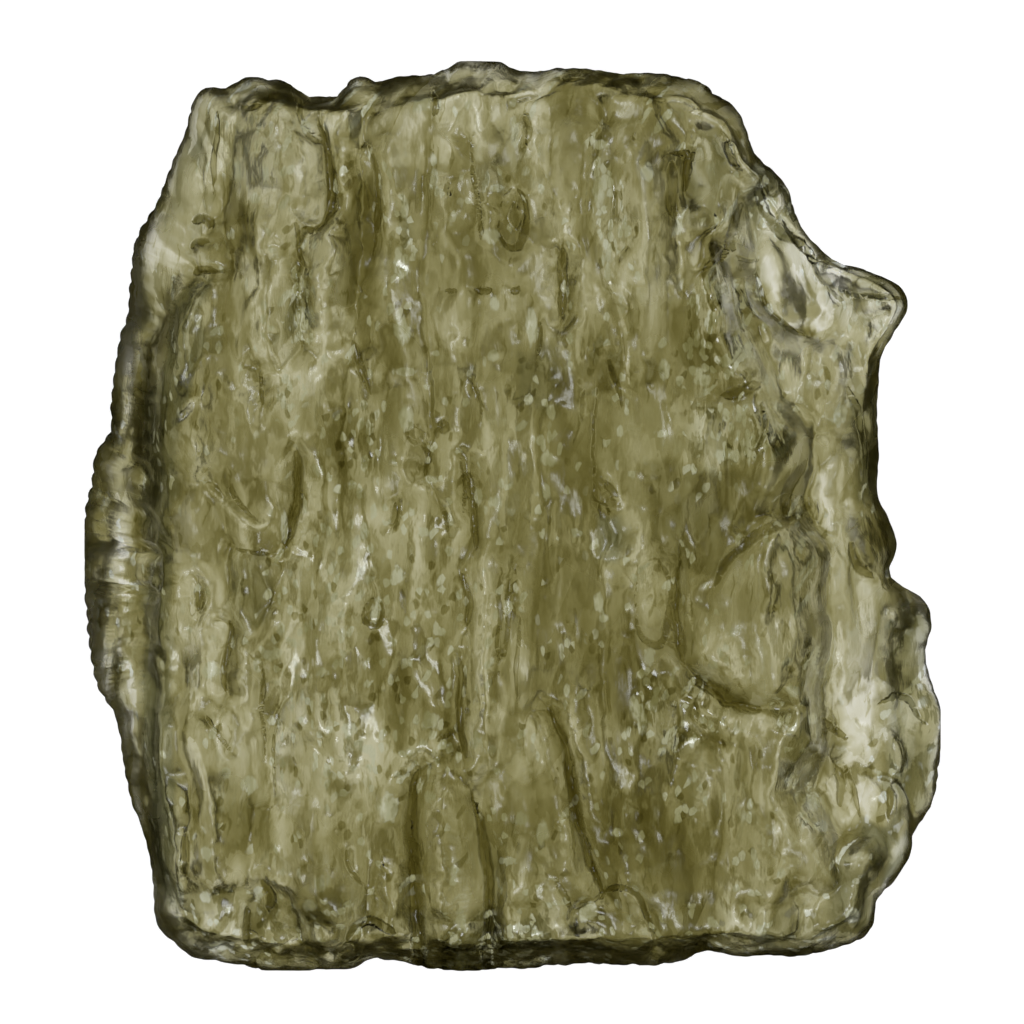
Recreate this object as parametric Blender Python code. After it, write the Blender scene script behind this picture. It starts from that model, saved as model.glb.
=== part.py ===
# A moldavite: one natural piece of olive-green glass, lying on its back with its etched face up.
# +X is to the right and +Y away from someone who looks down on the etched face, and +Z is up.
# The origin is under the middle of the stone, on the surface that it rests on.
# Lengths are in millimetres until the mesh is made.

import math

import bpy
import numpy as np
from mathutils import Vector, noise
from mathutils.geometry import delaunay_2d_cdt

# Driving dimensions. The stone is drawn at about this size and then fitted to it exactly.
WIDTH = 21.5
LENGTH = 22.8
THICKNESS = 8.2

MM = 0.001
GLASS_COLOR = (0.235, 0.205, 0.082, 1.0)
GLASS_ROUGHNESS = 0.16

# How closely the surface is drawn
RIM_STEP = 0.38
CURVE_STEPS = 12
FACE_STEP_X = 0.37
FACE_STEP_Y = 0.41
BACK_STEP = 0.78
JITTER = 0.16
EDGE_CLEARANCE = 0.26
LINE_STEP = 0.34
LINE_CLEARANCE = 0.2
PIT_RIM = 1.4
PIT_RIM_POINTS = 9
INSET_REACH = 5
INSET_SMOOTH = 1.2

# The etched face is a plateau that falls to the bevel round its edge
FACE_HEIGHT = 7.25
FACE_DOME = 0.0035
EDGE_FALL = 0.5
EDGE_FALL_WIDTH = 1.1

# The back: a small flat spot, then a shallow bowl-shaped rise to the rim
FLAT_SPOT_CENTRE = (-0.5, -0.4)
FLAT_SPOT_HALF = (4.2, 3.3)
FLAT_SPOT_POINTS = 28
BACK_RISE = 1.75
BACK_RISE_WIDTH = 5.2
BACK_FORMS = [(2.2, 2.6, 0.34, 47.9), (1.2, 1.2, 0.20, 50.9)]  # size, stretch, height, seed
BACK_FORMS_LIFT = 0.27
BACK_FORMS_START = 1.6

# The outline seen from above, clockwise from the upper left
TOP_EDGE = [
    (-9.80, 4.40), (-9.63, 5.00), (-9.47, 6.00), (-9.40, 6.80), (-9.06, 7.50), (-8.58, 8.50),
    (-8.21, 9.50), (-7.95, 10.40), (-7.66, 10.68), (-7.11, 10.72), (-6.56, 10.98), (-6.06, 10.90),
    (-5.63, 10.78), (-5.16, 10.43), (-4.76, 10.44), (-4.26, 10.56), (-3.98, 10.95), (-3.45, 10.87),
    (-2.80, 10.97), (-2.20, 11.00), (-1.75, 11.12), (-1.35, 11.35), (-0.70, 11.41), (-0.20, 11.28),
    (0.20, 11.06), (1.10, 11.15), (2.00, 11.12), (2.60, 11.02), (3.60, 11.01), (4.70, 10.84),
]
RIGHT_EDGE = [
    (4.98, 10.56), (5.55, 10.20), (5.84, 9.50), (6.08, 8.98), (6.65, 8.50), (6.95, 7.80),
    (7.40, 6.93), (8.00, 6.38), (8.85, 6.10), (9.50, 5.85), (9.85, 5.40), (9.60, 4.70),
    (9.20, 4.00), (9.11, 3.00), (9.12, 1.70), (9.10, 0.60), (9.30, 0.05), (9.57, -0.72),
    (9.35, -1.45), (9.90, -1.88), (10.38, -2.25), (10.50, -2.75), (10.28, -3.40), (10.42, -4.20),
    (10.75, -5.10), (10.67, -5.80), (10.57, -6.80), (10.30, -7.50), (9.98, -7.85), (9.95, -8.40),
    (9.44, -9.19), (9.03, -9.75), (9.01, -10.20),
]
BOTTOM_EDGE = [
    (8.64, -10.60), (8.01, -10.80), (6.99, -10.97), (6.00, -10.98), (4.84, -10.85), (4.19, -11.11),
    (3.14, -11.21), (2.00, -11.17), (0.90, -11.18), (0.00, -11.28), (-1.00, -11.36),
    (-2.00, -11.30), (-3.00, -11.04), (-3.60, -11.03), (-4.25, -11.34), (-4.90, -11.30),
    (-5.75, -11.41), (-6.50, -11.24), (-7.35, -11.11), (-8.05, -10.98),
]
LEFT_EDGE = [
    (-8.55, -10.55), (-8.83, -10.20), (-8.95, -9.00), (-9.15, -8.00), (-9.50, -7.00),
    (-9.70, -6.00), (-9.85, -5.20), (-10.30, -4.35), (-10.55, -3.60), (-10.62, -2.80),
    (-10.65, -1.75), (-10.76, -0.80), (-10.65, 0.05), (-10.45, 0.90), (-10.43, 1.45),
    (-10.03, 2.10), (-10.00, 3.00), (-9.87, 4.00),
]

# Sections of the rim, clockwise like the outline. Each gives its place on the outline, the height of
# the widest line, how far in and how high the ledge above it lies, and how far in the front and
# back edges lie.
RIM_SECTIONS = [
    # x, y, widest, ledge in, ledge height, front in, back in
    (-9.87, 4.0, 2.5, 0.80, 3.9, 1.50, 1.3),
    (-9.40, 6.8, 3.0, 0.85, 5.0, 1.80, 1.3),
    (-8.58, 8.5, 3.1, 0.60, 5.2, 1.20, 1.2),
    (-7.95, 10.4, 3.0, 0.30, 4.9, 0.75, 1.1),
    (-6.56, 11.0, 2.8, 0.30, 4.7, 0.75, 1.1),
    (-5.16, 10.4, 2.6, 0.20, 4.5, 0.50, 1.0),
    (-3.45, 10.9, 2.9, 0.35, 4.8, 0.80, 1.1),
    (-0.70, 11.4, 3.1, 0.40, 5.0, 0.95, 1.2),
    (2.00, 11.1, 3.3, 0.25, 5.3, 0.60, 1.2),
    (4.70, 10.8, 3.2, 0.30, 5.1, 0.65, 1.1),
    (5.84, 9.5, 3.0, 0.20, 4.7, 0.45, 1.0),
    (6.95, 7.8, 2.2, 0.25, 3.2, 0.50, 0.9),
    (8.00, 6.4, 2.0, 0.12, 2.6, 0.28, 0.8),
    (9.85, 5.4, 2.2, 0.12, 2.8, 0.28, 0.6),
    (9.12, 3.0, 2.3, 0.20, 3.1, 0.45, 1.0),
    (9.57, -0.7, 2.2, 0.22, 3.0, 0.50, 1.0),
    (9.35, -1.5, 2.2, 0.20, 3.0, 0.45, 0.9),
    (10.50, -2.8, 2.1, 0.35, 2.9, 0.95, 1.0),
    (10.75, -5.1, 2.1, 0.45, 3.0, 1.20, 1.2),
    (10.30, -7.5, 2.2, 0.35, 3.0, 0.90, 1.0),
    (9.01, -10.2, 2.5, 0.30, 3.7, 0.65, 1.0),
    (6.00, -11.0, 2.8, 0.30, 4.5, 0.65, 1.1),
    (3.14, -11.2, 3.0, 0.35, 4.7, 0.75, 1.2),
    (-1.00, -11.4, 3.0, 0.40, 4.7, 0.85, 1.2),
    (-3.60, -11.0, 2.9, 0.30, 4.6, 0.60, 1.1),
    (-5.75, -11.4, 2.9, 0.40, 4.6, 0.85, 1.1),
    (-8.05, -11.0, 2.8, 0.35, 4.5, 0.75, 1.1),
    (-8.95, -9.0, 2.7, 0.25, 4.3, 0.60, 1.1),
    (-9.70, -6.0, 2.5, 0.45, 3.9, 1.20, 1.2),
    (-10.55, -3.6, 2.1, 1.05, 3.4, 2.00, 1.3),
    (-10.76, -0.8, 2.0, 1.40, 3.5, 2.25, 1.4),
    (-10.03, 2.1, 2.2, 0.95, 3.7, 1.65, 1.3),
]
SHOULDER_IN = 0.65  # the shoulder's share of the way in from the ledge to the front edge
SHOULDER_UP = 0.7  # and of the way up
LOWER_IN = 0.3  # the lower side's share of the way in to the back edge
LOWER_BULGE = 0.1
CHIPS = (1.3, 1.0, 83.1)  # size, stretch, seed
NICKS = (0.65, 1.0, 92.1)
CHIP_DEPTH = 0.22

# Parts of the face that lie lower than the plateau, as the outline of each, its level and the
# width of its slope
LOW_ZONES = [
    # The wide terrace down the right side
    (
        [
            (5.7, 8.4), (5.4, 7.3), (5.0, 6.2), (5.5, 4.9), (6.0, 3.6), (6.7, 2.1), (7.2, 1.2),
            (6.9, 0.1), (7.5, -1.0), (7.6, -2.8), (7.3, -4.4), (7.6, -5.6), (7.2, -7.0),
            (7.9, -8.3), (9.6, -8.2), (13.0, -9.0), (13.0, 9.0),
        ],
        -2.5,
        1.0,
    ),
    # The scoop below the upper right corner
    (
        [
            (6.0, 7.7), (6.9, 7.4), (7.6, 6.7), (8.4, 5.6), (8.2, 4.8), (7.5, 4.4), (6.8, 4.6),
            (6.2, 5.3), (5.8, 6.4),
        ],
        -1.0,
        0.8,
    ),
    # The shoulder along the left side
    ([(-9.5, 1.6), (-7.1, 1.3), (-6.8, -0.9), (-7.0, -4.6), (-9.5, -5.0)], -0.55, 0.5),
    # The break at the lower right corner
    ([(6.8, -9.1), (8.3, -8.6), (11.0, -8.4), (9.5, -12.0), (6.9, -12.0)], -0.9, 0.7),
    # The hollow across the bottom of the stone
    ([(-8.6, -9.0), (-6.4, -8.8), (-5.2, -9.6), (-5.0, -12.0), (-9.0, -12.0)], -0.6, 0.8),
    # The dark chip beside the terrace
    ([(7.3, 1.4), (6.5, 0.9), (6.0, -0.1), (6.9, 0.2)], -0.7, 0.4),
    # The worn patch left of the middle
    ([(-7.0, -0.9), (-6.1, -0.9), (-5.9, -2.0), (-6.7, -3.2), (-7.1, -2.6)], -0.35, 0.4),
    # The smooth facet under the upper right corner
    ([(4.3, 9.6), (5.3, 9.7), (5.4, 7.3), (4.5, 7.2)], -0.35, 0.4),
]

# Grooves etched along the face, as the middle line of each, its width and its depth
GROOVES = [
    ([(-3.80, 9.4), (-3.80, 7.6), (-3.85, 6.2), (-3.95, 4.2)], 0.75, 0.60),
    ([(-4.80, 9.8), (-4.65, 8.6), (-4.60, 7.8), (-4.85, 7.2), (-5.30, 7.2)], 0.50, 0.50),
    ([(-5.25, 6.7), (-5.40, 5.4), (-5.30, 4.2)], 0.55, 0.40),
    ([(-1.10, 9.5), (-1.15, 7.1)], 0.50, 0.35),
    ([(-1.05, 1.5), (-1.05, -0.6)], 0.40, 0.28),
    ([(1.25, 6.7), (1.25, 5.0)], 0.45, 0.40),
    ([(-2.35, -6.4), (-2.55, -7.5), (-2.45, -9.0), (-2.35, -10.3)], 0.70, 0.80),
    ([(-0.95, -6.9), (-0.75, -8.0), (-0.60, -9.5), (-0.60, -10.5)], 0.55, 0.65),
    ([(0.97, -4.9), (1.36, -5.9), (1.55, -7.1), (1.78, -8.3), (2.33, -9.4)], 0.45, 0.50),
    ([(4.10, -0.9), (4.10, -3.5)], 0.50, 0.45),
    ([(4.60, -4.0), (5.50, -4.7), (6.70, -4.8)], 0.60, 0.60),
    ([(-7.15, -2.6), (-7.10, -4.5)], 0.40, 0.30),
    ([(-6.40, 3.8), (-6.20, 2.6)], 0.40, 0.28),
    ([(-6.00, -5.0), (-5.95, -7.2)], 0.45, 0.28),
    ([(2.65, 5.4), (2.80, 4.3), (2.90, 3.3)], 0.35, 0.22),
    ([(-7.50, 7.6), (-7.65, 6.0)], 0.45, 0.35),
    ([(-3.60, -9.2), (-3.70, -10.3)], 0.50, 0.35),
    ([(6.10, 6.1), (6.30, 5.3), (6.90, 4.6), (7.60, 4.5)], 0.45, 0.35),
]

# Ribs and lumps that stand up between the grooves
RIDGES = [
    # The broad tongue at the upper left, and the strip that runs down from it
    ([(-6.40, 9.7), (-5.90, 8.6), (-5.50, 7.8)], 1.70, 0.50),
    ([(-6.30, 7.4), (-6.15, 4.3)], 0.90, 0.35),
    ([(-0.66, -1.1), (-0.66, -6.0)], 0.65, 0.40),
    ([(-1.75, -6.8), (-1.70, -10.2)], 0.60, 0.30),
    ([(0.55, 10.0), (0.60, 8.8)], 0.50, 0.25),
    # The spur that runs out to the tip on the right
    ([(7.70, 6.1), (8.60, 5.8), (9.50, 5.5)], 0.70, 0.55),
    # The rounded lobe on the right
    ([(6.30, -2.1), (5.80, -3.3)], 2.60, 0.95),
    ([(8.30, 3.6), (8.10, 1.2), (8.30, -3.5)], 0.80, 0.35),
    ([(-2.60, 4.5), (-2.75, 0.8)], 0.80, 0.22),
    ([(-4.30, -1.8), (-4.20, -5.4)], 0.90, 0.22),
]

# Pits and burst bubbles, as the middle of each, its half width and half height, and its depth
PITS = [
    (0.02, 7.42, 0.50, 0.85, 0.50),
    (-5.42, 0.60, 0.34, 1.15, 0.70),
    (4.30, 8.55, 0.32, 0.75, 0.40),
    (3.50, -2.30, 0.50, 1.30, 0.30),
    (4.90, 6.95, 0.50, 0.40, 0.35),
    (4.90, -5.60, 0.55, 0.45, 0.40),
    (-3.60, 10.0, 0.35, 0.40, 0.40),
    (-7.80, -2.00, 0.28, 0.50, 0.25),
    (-2.15, 1.25, 0.32, 0.45, 0.25),
    (-6.30, -9.70, 0.45, 0.60, 0.40),
    (-4.10, -10.6, 0.45, 0.40, 0.35),
    (2.55, -0.40, 0.55, 0.60, 0.22),
    (8.40, 2.30, 0.45, 0.70, 0.35),
    (8.60, -6.40, 0.60, 0.60, 0.40),
    (1.75, -9.90, 0.40, 0.50, 0.30),
    (-8.90, -7.80, 0.40, 0.70, 0.30),
]

# Natural unevenness: long etched ribs that run along Y, and smaller lumps
FACE_FORMS = [(1.15, 7.0, 0.30, 11.3), (1.25, 1.4, 0.16, 16.3)]  # size, stretch, height, seed
RAGGED_X = (1.1, 1.6, 31.3)  # size, stretch, seed
RAGGED_Y = (1.1, 1.6, 41.3)
RAGGED_REACH = 0.22
JITTER_SEED = 20


def smooth_step(t):
    t = np.clip(t, 0.0, 1.0)
    return t * t * (3.0 - 2.0 * t)


def relief(x, y, size, stretch, seed):
    # Smooth natural noise between about -1 and 1, its forms size across and drawn out along Y
    places = zip(x / size, y / (size * stretch))
    return np.array([2.0 * noise.noise(Vector((u, v, seed))) for u, v in places])


def path_distance(x, y, path, closed=False):
    # Distance of each point from a line through the path's points
    starts = np.array(path)
    ends = np.roll(starts, -1, axis=0)
    if not closed:
        starts = starts[:-1]
        ends = ends[:-1]
    nearest = np.full(len(x), np.inf)
    for (ax, ay), (bx, by) in zip(starts, ends):
        length_squared = (bx - ax) ** 2 + (by - ay) ** 2
        share = ((x - ax) * (bx - ax) + (y - ay) * (by - ay)) / length_squared
        share = np.clip(share, 0.0, 1.0)
        away = np.hypot(x - ax - share * (bx - ax), y - ay - share * (by - ay))
        nearest = np.minimum(nearest, away)
    return nearest


def inside(x, y, loop):
    # Which points lie inside a closed loop, by counting the edges to their right
    starts = np.array(loop)
    ends = np.roll(starts, -1, axis=0)
    found = np.zeros(len(x), bool)
    for (ax, ay), (bx, by) in zip(starts, ends):
        if ay == by:
            continue
        spans = (ay > y) != (by > y)
        found ^= spans & (x < ax + (y - ay) * (bx - ax) / (by - ay))
    return found


def depth_inside(x, y, loop):
    # Distance from the loop, positive inside it and negative outside
    away = path_distance(x, y, loop, closed=True)
    return np.where(inside(x, y, loop), away, -away)


def along(path, step):
    # Points about step apart on an open path, ends included
    path = np.array(path)
    lengths = np.concatenate([[0.0], np.cumsum(np.hypot(*np.diff(path, axis=0).T))])
    count = max(2, round(lengths[-1] / step) + 1)
    at = np.linspace(0.0, lengths[-1], count)
    return np.column_stack([np.interp(at, lengths, path[:, k]) for k in range(2)])


def blend(a, b, start, end, t):
    return a + (b - a) * (t - start) / (end - start)


def smooth_loop(points, step):
    # A closed curve through the points (centripetal Catmull-Rom), as points about step apart
    points = np.array(points)
    count = len(points)
    dense = []
    for i in range(count):
        p = [points[(i + k) % count] for k in (-1, 0, 1, 2)]
        knots = [0.0]
        for a, b in zip(p, p[1:]):
            knots.append(knots[-1] + math.sqrt(math.dist(a, b)))
        for t in np.linspace(knots[1], knots[2], CURVE_STEPS, endpoint=False):
            first = [blend(p[k], p[k + 1], knots[k], knots[k + 1], t) for k in range(3)]
            second = [blend(first[k], first[k + 1], knots[k], knots[k + 2], t) for k in range(2)]
            dense.append(blend(*second, knots[1], knots[2], t))
    dense.append(dense[0])
    return along(dense, step)[:-1]


def evened(loop, reach):
    # The loop with each point moved to a weighted middle of its neighbours, reach points each way
    weights = {k: reach + 1 - abs(k) for k in range(-reach, reach + 1)}
    total = sum(np.roll(loop, k, axis=0) * weight for k, weight in weights.items())
    return total / sum(weights.values())


def set_in(loop, inset):
    # An anticlockwise loop moved inwards. The further in it lies, the less it keeps of the small bends.
    course = evened(loop, INSET_REACH)
    along_it = np.roll(course, -1, axis=0) - np.roll(course, 1, axis=0)
    normals = np.column_stack([along_it[:, 1], -along_it[:, 0]])
    normals /= np.hypot(*normals.T)[:, None]
    share = np.clip(inset / INSET_SMOOTH, 0.0, 1.0)[:, None]
    return loop + (course - loop) * share - normals * inset[:, None]


def rim_values(loop):
    # The rim sections' values at every point of the outline
    lengths = np.hypot(*(np.roll(loop, -1, axis=0) - loop).T)
    at = np.concatenate([[0.0], np.cumsum(lengths)])
    total = at[-1]
    sections = []
    for x, y, *values in RIM_SECTIONS:
        nearest = np.argmin(np.hypot(loop[:, 0] - x, loop[:, 1] - y))
        sections.append((at[nearest], *values))
    sections.sort()
    table = np.array(sections)
    return [np.interp(at[:-1], table[:, 0], table[:, k], period=total) for k in range(1, 6)]


def face_height(x, y, edge):
    # Height of the etched face, whose edge is the loop edge
    z = FACE_HEIGHT - FACE_DOME * (x * x + y * y)
    ragged_x = x + RAGGED_REACH * relief(x, y, *RAGGED_X)
    ragged_y = y + RAGGED_REACH * relief(x, y, *RAGGED_Y)
    for loop, level, slope in LOW_ZONES:
        z += level * smooth_step(0.5 + depth_inside(ragged_x, ragged_y, loop) / slope)
    for path, width, depth in GROOVES:
        z -= depth * smooth_step(1.0 - path_distance(x, y, path) / width)
    for path, width, height in RIDGES:
        z += height * smooth_step(1.0 - path_distance(x, y, path) / width)
    for cx, cy, half_width, half_height, depth in PITS:
        out = np.hypot((x - cx) / half_width, (y - cy) / half_height)
        z -= depth * smooth_step(PIT_RIM - out)
    for size, stretch, height, seed in FACE_FORMS:
        z += height * relief(x, y, size, stretch, seed)
    from_edge = path_distance(x, y, edge, closed=True)
    return z - EDGE_FALL * smooth_step(1.0 - from_edge / EDGE_FALL_WIDTH)


def back_height(x, y):
    # Height of the back, 0 on the flat spot
    cx, cy = FLAT_SPOT_CENTRE
    half_x, half_y = FLAT_SPOT_HALF
    out = np.hypot((x - cx) / half_x, (y - cy) / half_y)
    beyond = np.maximum(out - 1.0, 0.0) * min(half_x, half_y)
    rise = BACK_RISE * (1.0 - np.exp(-((beyond / BACK_RISE_WIDTH) ** 2)))
    uneven = np.full(len(x), BACK_FORMS_LIFT)
    for size, stretch, height, seed in BACK_FORMS:
        uneven += height * relief(x, y, size, stretch, seed)
    return rise + np.maximum(uneven, 0.0) * smooth_step(beyond / BACK_FORMS_START)


def spread(points, clearance):
    # The points with any that crowd an earlier one left out
    kept = []
    for point in points:
        if all(math.dist(point, other) >= clearance for other in kept):
            kept.append(point)
    return np.array(kept)


def guide_points(edge):
    # Places where the face needs a vertex: the bottom and both sides of each groove and rib, and the
    # middle and the rim of each pit
    lines = [along(path, LINE_STEP) for path, _, _ in GROOVES + RIDGES]
    lines += [np.array([[x, y]]) for x, y, _, _, _ in PITS]
    for path, width, _ in GROOVES:
        middle = along(path, LINE_STEP)
        course = np.gradient(middle, axis=0)
        sideways = np.column_stack([course[:, 1], -course[:, 0]]) / np.hypot(*course.T)[:, None]
        lines += [middle + side * width * sideways for side in (-1.0, 1.0)]
    turns = np.linspace(0.0, math.tau, PIT_RIM_POINTS, endpoint=False)
    around = np.column_stack([np.cos(turns), np.sin(turns)]) * PIT_RIM
    lines += [around * (half_x, half_y) + (x, y) for x, y, half_x, half_y, _ in PITS]
    points = np.concatenate(lines)
    return spread(points[depth_inside(*points.T, edge) > EDGE_CLEARANCE], LINE_CLEARANCE)


def lattice(edge, step_x, step_y, keep_clear, clearance):
    # Slightly uneven staggered points inside the loop edge and away from the points keep_clear
    draw = np.random.default_rng(JITTER_SEED)
    low, high = edge.min(axis=0), edge.max(axis=0)
    rows = []
    for k, y in enumerate(np.arange(low[1], high[1], step_y)):
        x = np.arange(low[0] + step_x * 0.5 * (k % 2), high[0], step_x)
        rows.append(np.column_stack([x, np.full(len(x), y)]))
    points = np.concatenate(rows)
    points += draw.uniform(-JITTER, JITTER, points.shape) * (step_x, step_y)
    points = points[depth_inside(*points.T, edge) > EDGE_CLEARANCE * step_x / FACE_STEP_X]
    near = np.zeros(len(points), bool)
    for place in keep_clear:
        near |= np.hypot(*(points - place).T) < clearance
    return points[~near]


def sheet(edge, inner, rings=()):
    # Triangles that fill the loop edge through the inner points. Rings are loops that edges follow.
    places = np.concatenate([edge, *rings, inner])
    count = len(edge)
    lines = []
    first = count
    for ring in rings:
        lines += [(first + k, first + (k + 1) % len(ring)) for k in range(len(ring))]
        first += len(ring)
    filled = delaunay_2d_cdt([Vector(p) for p in places], lines, [list(range(count))], 1, 1e-6)
    return places, [tuple(face) for face in filled[2]]


def stone_mesh():
    # Vertices in millimetres and faces of the whole stone
    outline = smooth_loop((TOP_EDGE + RIGHT_EDGE + BOTTOM_EDGE + LEFT_EDGE)[::-1], RIM_STEP)
    widest, ledge_in, ledge_height, front_in, back_in = rim_values(outline)
    chips = CHIP_DEPTH * relief(*outline.T, *CHIPS)
    nicks = CHIP_DEPTH * relief(*outline.T, *NICKS)
    front = set_in(outline, front_in * (1.0 + 0.5 * chips))
    ledge = set_in(outline, ledge_in * (1.0 + nicks))
    shoulder = set_in(outline, ledge_in + SHOULDER_IN * (front_in - ledge_in))
    lower = set_in(outline, LOWER_IN * back_in)
    back = set_in(outline, back_in)

    anchors = guide_points(front)
    inner = np.concatenate([anchors, lattice(front, FACE_STEP_X, FACE_STEP_Y, anchors, LINE_CLEARANCE)])
    face_points, face_triangles = sheet(front, inner)

    turns = np.linspace(0.0, math.tau, FLAT_SPOT_POINTS, endpoint=False)
    spot = np.column_stack([np.cos(turns), np.sin(turns)]) * FLAT_SPOT_HALF + FLAT_SPOT_CENTRE
    under = lattice(back, BACK_STEP, BACK_STEP, spot, 0.5 * BACK_STEP)
    under = under[~inside(*under.T, spot)]
    back_points, back_triangles = sheet(back, under, [spot])

    count = len(outline)
    back_z = back_height(*back_points.T)
    face_z = face_height(*face_points.T, front)
    ledge_z = ledge_height + chips
    shoulder_z = ledge_z + SHOULDER_UP * (face_z[:count] - ledge_z) + nicks
    widest_z = widest + nicks
    lower_z = 0.5 * (back_z[:count] + widest_z) - LOWER_BULGE
    parts = [
        (back_points, back_z),
        (lower, lower_z),
        (outline, widest_z),
        (ledge, ledge_z),
        (shoulder, shoulder_z),
        (face_points, face_z),
    ]
    first = np.cumsum([0] + [len(points) for points, _ in parts])
    vertices = np.concatenate([np.column_stack(part) for part in parts])

    faces = [tuple(reversed(face)) for face in back_triangles]
    faces += [tuple(first[5] + k for k in face) for face in face_triangles]
    for low, high in zip(first[:5], first[1:6]):
        for k in range(count):
            after = (k + 1) % count
            faces.append((low + k, low + after, high + after, high + k))
    return vertices, [tuple(int(k) for k in face) for face in faces]


def fitted(vertices):
    # The vertices at the stone's exact size, centred in X and Y and standing on Z = 0
    low, high = vertices.min(axis=0), vertices.max(axis=0)
    middle = np.array([*(low + high)[:2] / 2.0, low[2]])
    return (vertices - middle) * np.array([WIDTH, LENGTH, THICKNESS]) / (high - low)


def glass_material():
    material = bpy.data.materials.new("moldavite_glass")
    material.use_nodes = True
    shader = material.node_tree.nodes["Principled BSDF"]
    shader.inputs["Base Color"].default_value = GLASS_COLOR
    shader.inputs["Roughness"].default_value = GLASS_ROUGHNESS
    shader.inputs["Metallic"].default_value = 0.0
    material.diffuse_color = GLASS_COLOR
    return material


def make_stone():
    vertices, faces = stone_mesh()
    mesh = bpy.data.meshes.new("moldavite")
    mesh.from_pydata((fitted(vertices) * MM).tolist(), [], faces)
    mesh.validate()
    mesh.shade_smooth()
    mesh.materials.append(glass_material())
    stone = bpy.data.objects.new("moldavite", mesh)
    bpy.context.scene.collection.objects.link(stone)
    return stone


for leftover in list(bpy.data.objects):
    bpy.data.objects.remove(leftover)
make_stone()
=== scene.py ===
# A moldavite on a pale floor, seen from straight above in soft studio light.
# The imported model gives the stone's form. Its etched skin, its glass and the light are made here.

import math

import bpy
import numpy as np
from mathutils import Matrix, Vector, noise


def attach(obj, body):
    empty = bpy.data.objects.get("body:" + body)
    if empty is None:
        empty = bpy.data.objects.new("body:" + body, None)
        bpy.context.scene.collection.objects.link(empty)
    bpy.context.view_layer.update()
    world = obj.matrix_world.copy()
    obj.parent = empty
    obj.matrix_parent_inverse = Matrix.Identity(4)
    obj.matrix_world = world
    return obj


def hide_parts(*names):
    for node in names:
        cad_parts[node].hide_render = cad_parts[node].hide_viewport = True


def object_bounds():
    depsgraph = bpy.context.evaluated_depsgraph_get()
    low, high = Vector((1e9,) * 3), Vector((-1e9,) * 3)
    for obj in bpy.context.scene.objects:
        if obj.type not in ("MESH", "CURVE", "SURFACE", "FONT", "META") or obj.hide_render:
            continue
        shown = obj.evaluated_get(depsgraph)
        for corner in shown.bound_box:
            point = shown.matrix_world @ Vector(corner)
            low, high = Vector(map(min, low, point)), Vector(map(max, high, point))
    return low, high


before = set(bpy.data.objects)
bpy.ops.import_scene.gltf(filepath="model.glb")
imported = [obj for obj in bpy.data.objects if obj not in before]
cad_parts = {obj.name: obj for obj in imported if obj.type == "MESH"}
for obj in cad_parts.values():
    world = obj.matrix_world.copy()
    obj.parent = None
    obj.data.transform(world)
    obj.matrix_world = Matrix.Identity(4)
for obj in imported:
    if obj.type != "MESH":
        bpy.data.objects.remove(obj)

boxLow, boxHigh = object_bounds()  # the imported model's own box, before anything is added
mm = 0.001


# Node building

class Signal:
    # A node's output that takes part in plain arithmetic
    def __init__(self, graph, socket):
        self.graph = graph
        self.socket = socket

    def out(self, name):
        return Signal(self.graph, self.graph.find(self.socket.node.outputs, name))

    def math(self, operation, first, second=0.0):
        return self.graph.add("ShaderNodeMath", {"operation": operation}, {0: first, 1: second})

    def __add__(self, other):
        return self.math("ADD", self, other)

    def __sub__(self, other):
        return self.math("SUBTRACT", self, other)

    def __rsub__(self, other):
        return self.math("SUBTRACT", other, self)

    def __mul__(self, other):
        return self.math("MULTIPLY", self, other)

    def __truediv__(self, other):
        return self.math("DIVIDE", self, other)

    def __rtruediv__(self, other):
        return self.math("DIVIDE", other, self)

    def __pow__(self, other):
        return self.math("POWER", self, other)

    __radd__ = __add__
    __rmul__ = __mul__


class Graph:
    # A node tree under construction
    def __init__(self, tree):
        self.tree = tree

    def find(self, sockets, key):
        if isinstance(key, int):
            return sockets[key]
        for socket in sockets:
            if key in (socket.identifier, socket.name):
                return socket
        raise KeyError(key)

    def add(self, kind, settings=None, sockets=None, output=0):
        node = self.tree.nodes.new(kind)
        for name, value in (settings or {}).items():
            setattr(node, name, value)
        for key, value in (sockets or {}).items():
            socket = self.find(node.inputs, key)
            if isinstance(value, Signal):
                self.tree.links.new(value.socket, socket)
            else:
                socket.default_value = value
        return Signal(self, self.find(node.outputs, output)) if node.outputs else node

    def scaled(self, vector, factors):
        # A vector multiplied by a number for each axis
        return self.add("ShaderNodeVectorMath", {"operation": "MULTIPLY"}, {0: vector, 1: factors})

    def noise(self, place, detail=2.0, roughness=0.5, distortion=0.0):
        sockets = {"Vector": place, "Scale": 1.0, "Detail": detail, "Roughness": roughness,
                   "Distortion": distortion}
        return self.add("ShaderNodeTexNoise", {}, sockets, "Fac")

    def cells(self, place, randomness=1.0, feature="F1"):
        sockets = {"Vector": place, "Scale": 1.0, "Randomness": randomness}
        return self.add("ShaderNodeTexVoronoi", {"feature": feature}, sockets, "Distance")

    def ramp(self, value, low, high, start=0.0, end=1.0):
        # A smooth step from start at low to end at high
        sockets = {"Value": value, "From Min": low, "From Max": high, "To Min": start, "To Max": end}
        return self.add("ShaderNodeMapRange", {"interpolation_type": "SMOOTHSTEP"}, sockets)

    def mix(self, factor, first, second):
        sockets = {"Factor_Float": factor, "A_Color": first, "B_Color": second}
        return self.add("ShaderNodeMix", {"data_type": "RGBA"}, sockets, "Result_Color")


# The stone's form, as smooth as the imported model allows

formValues = {
    "mergeReach": 1e-6,
    "fitRounds": 2,
    "fitShare": 0.85,  # how much of the difference each round makes up
}


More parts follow.
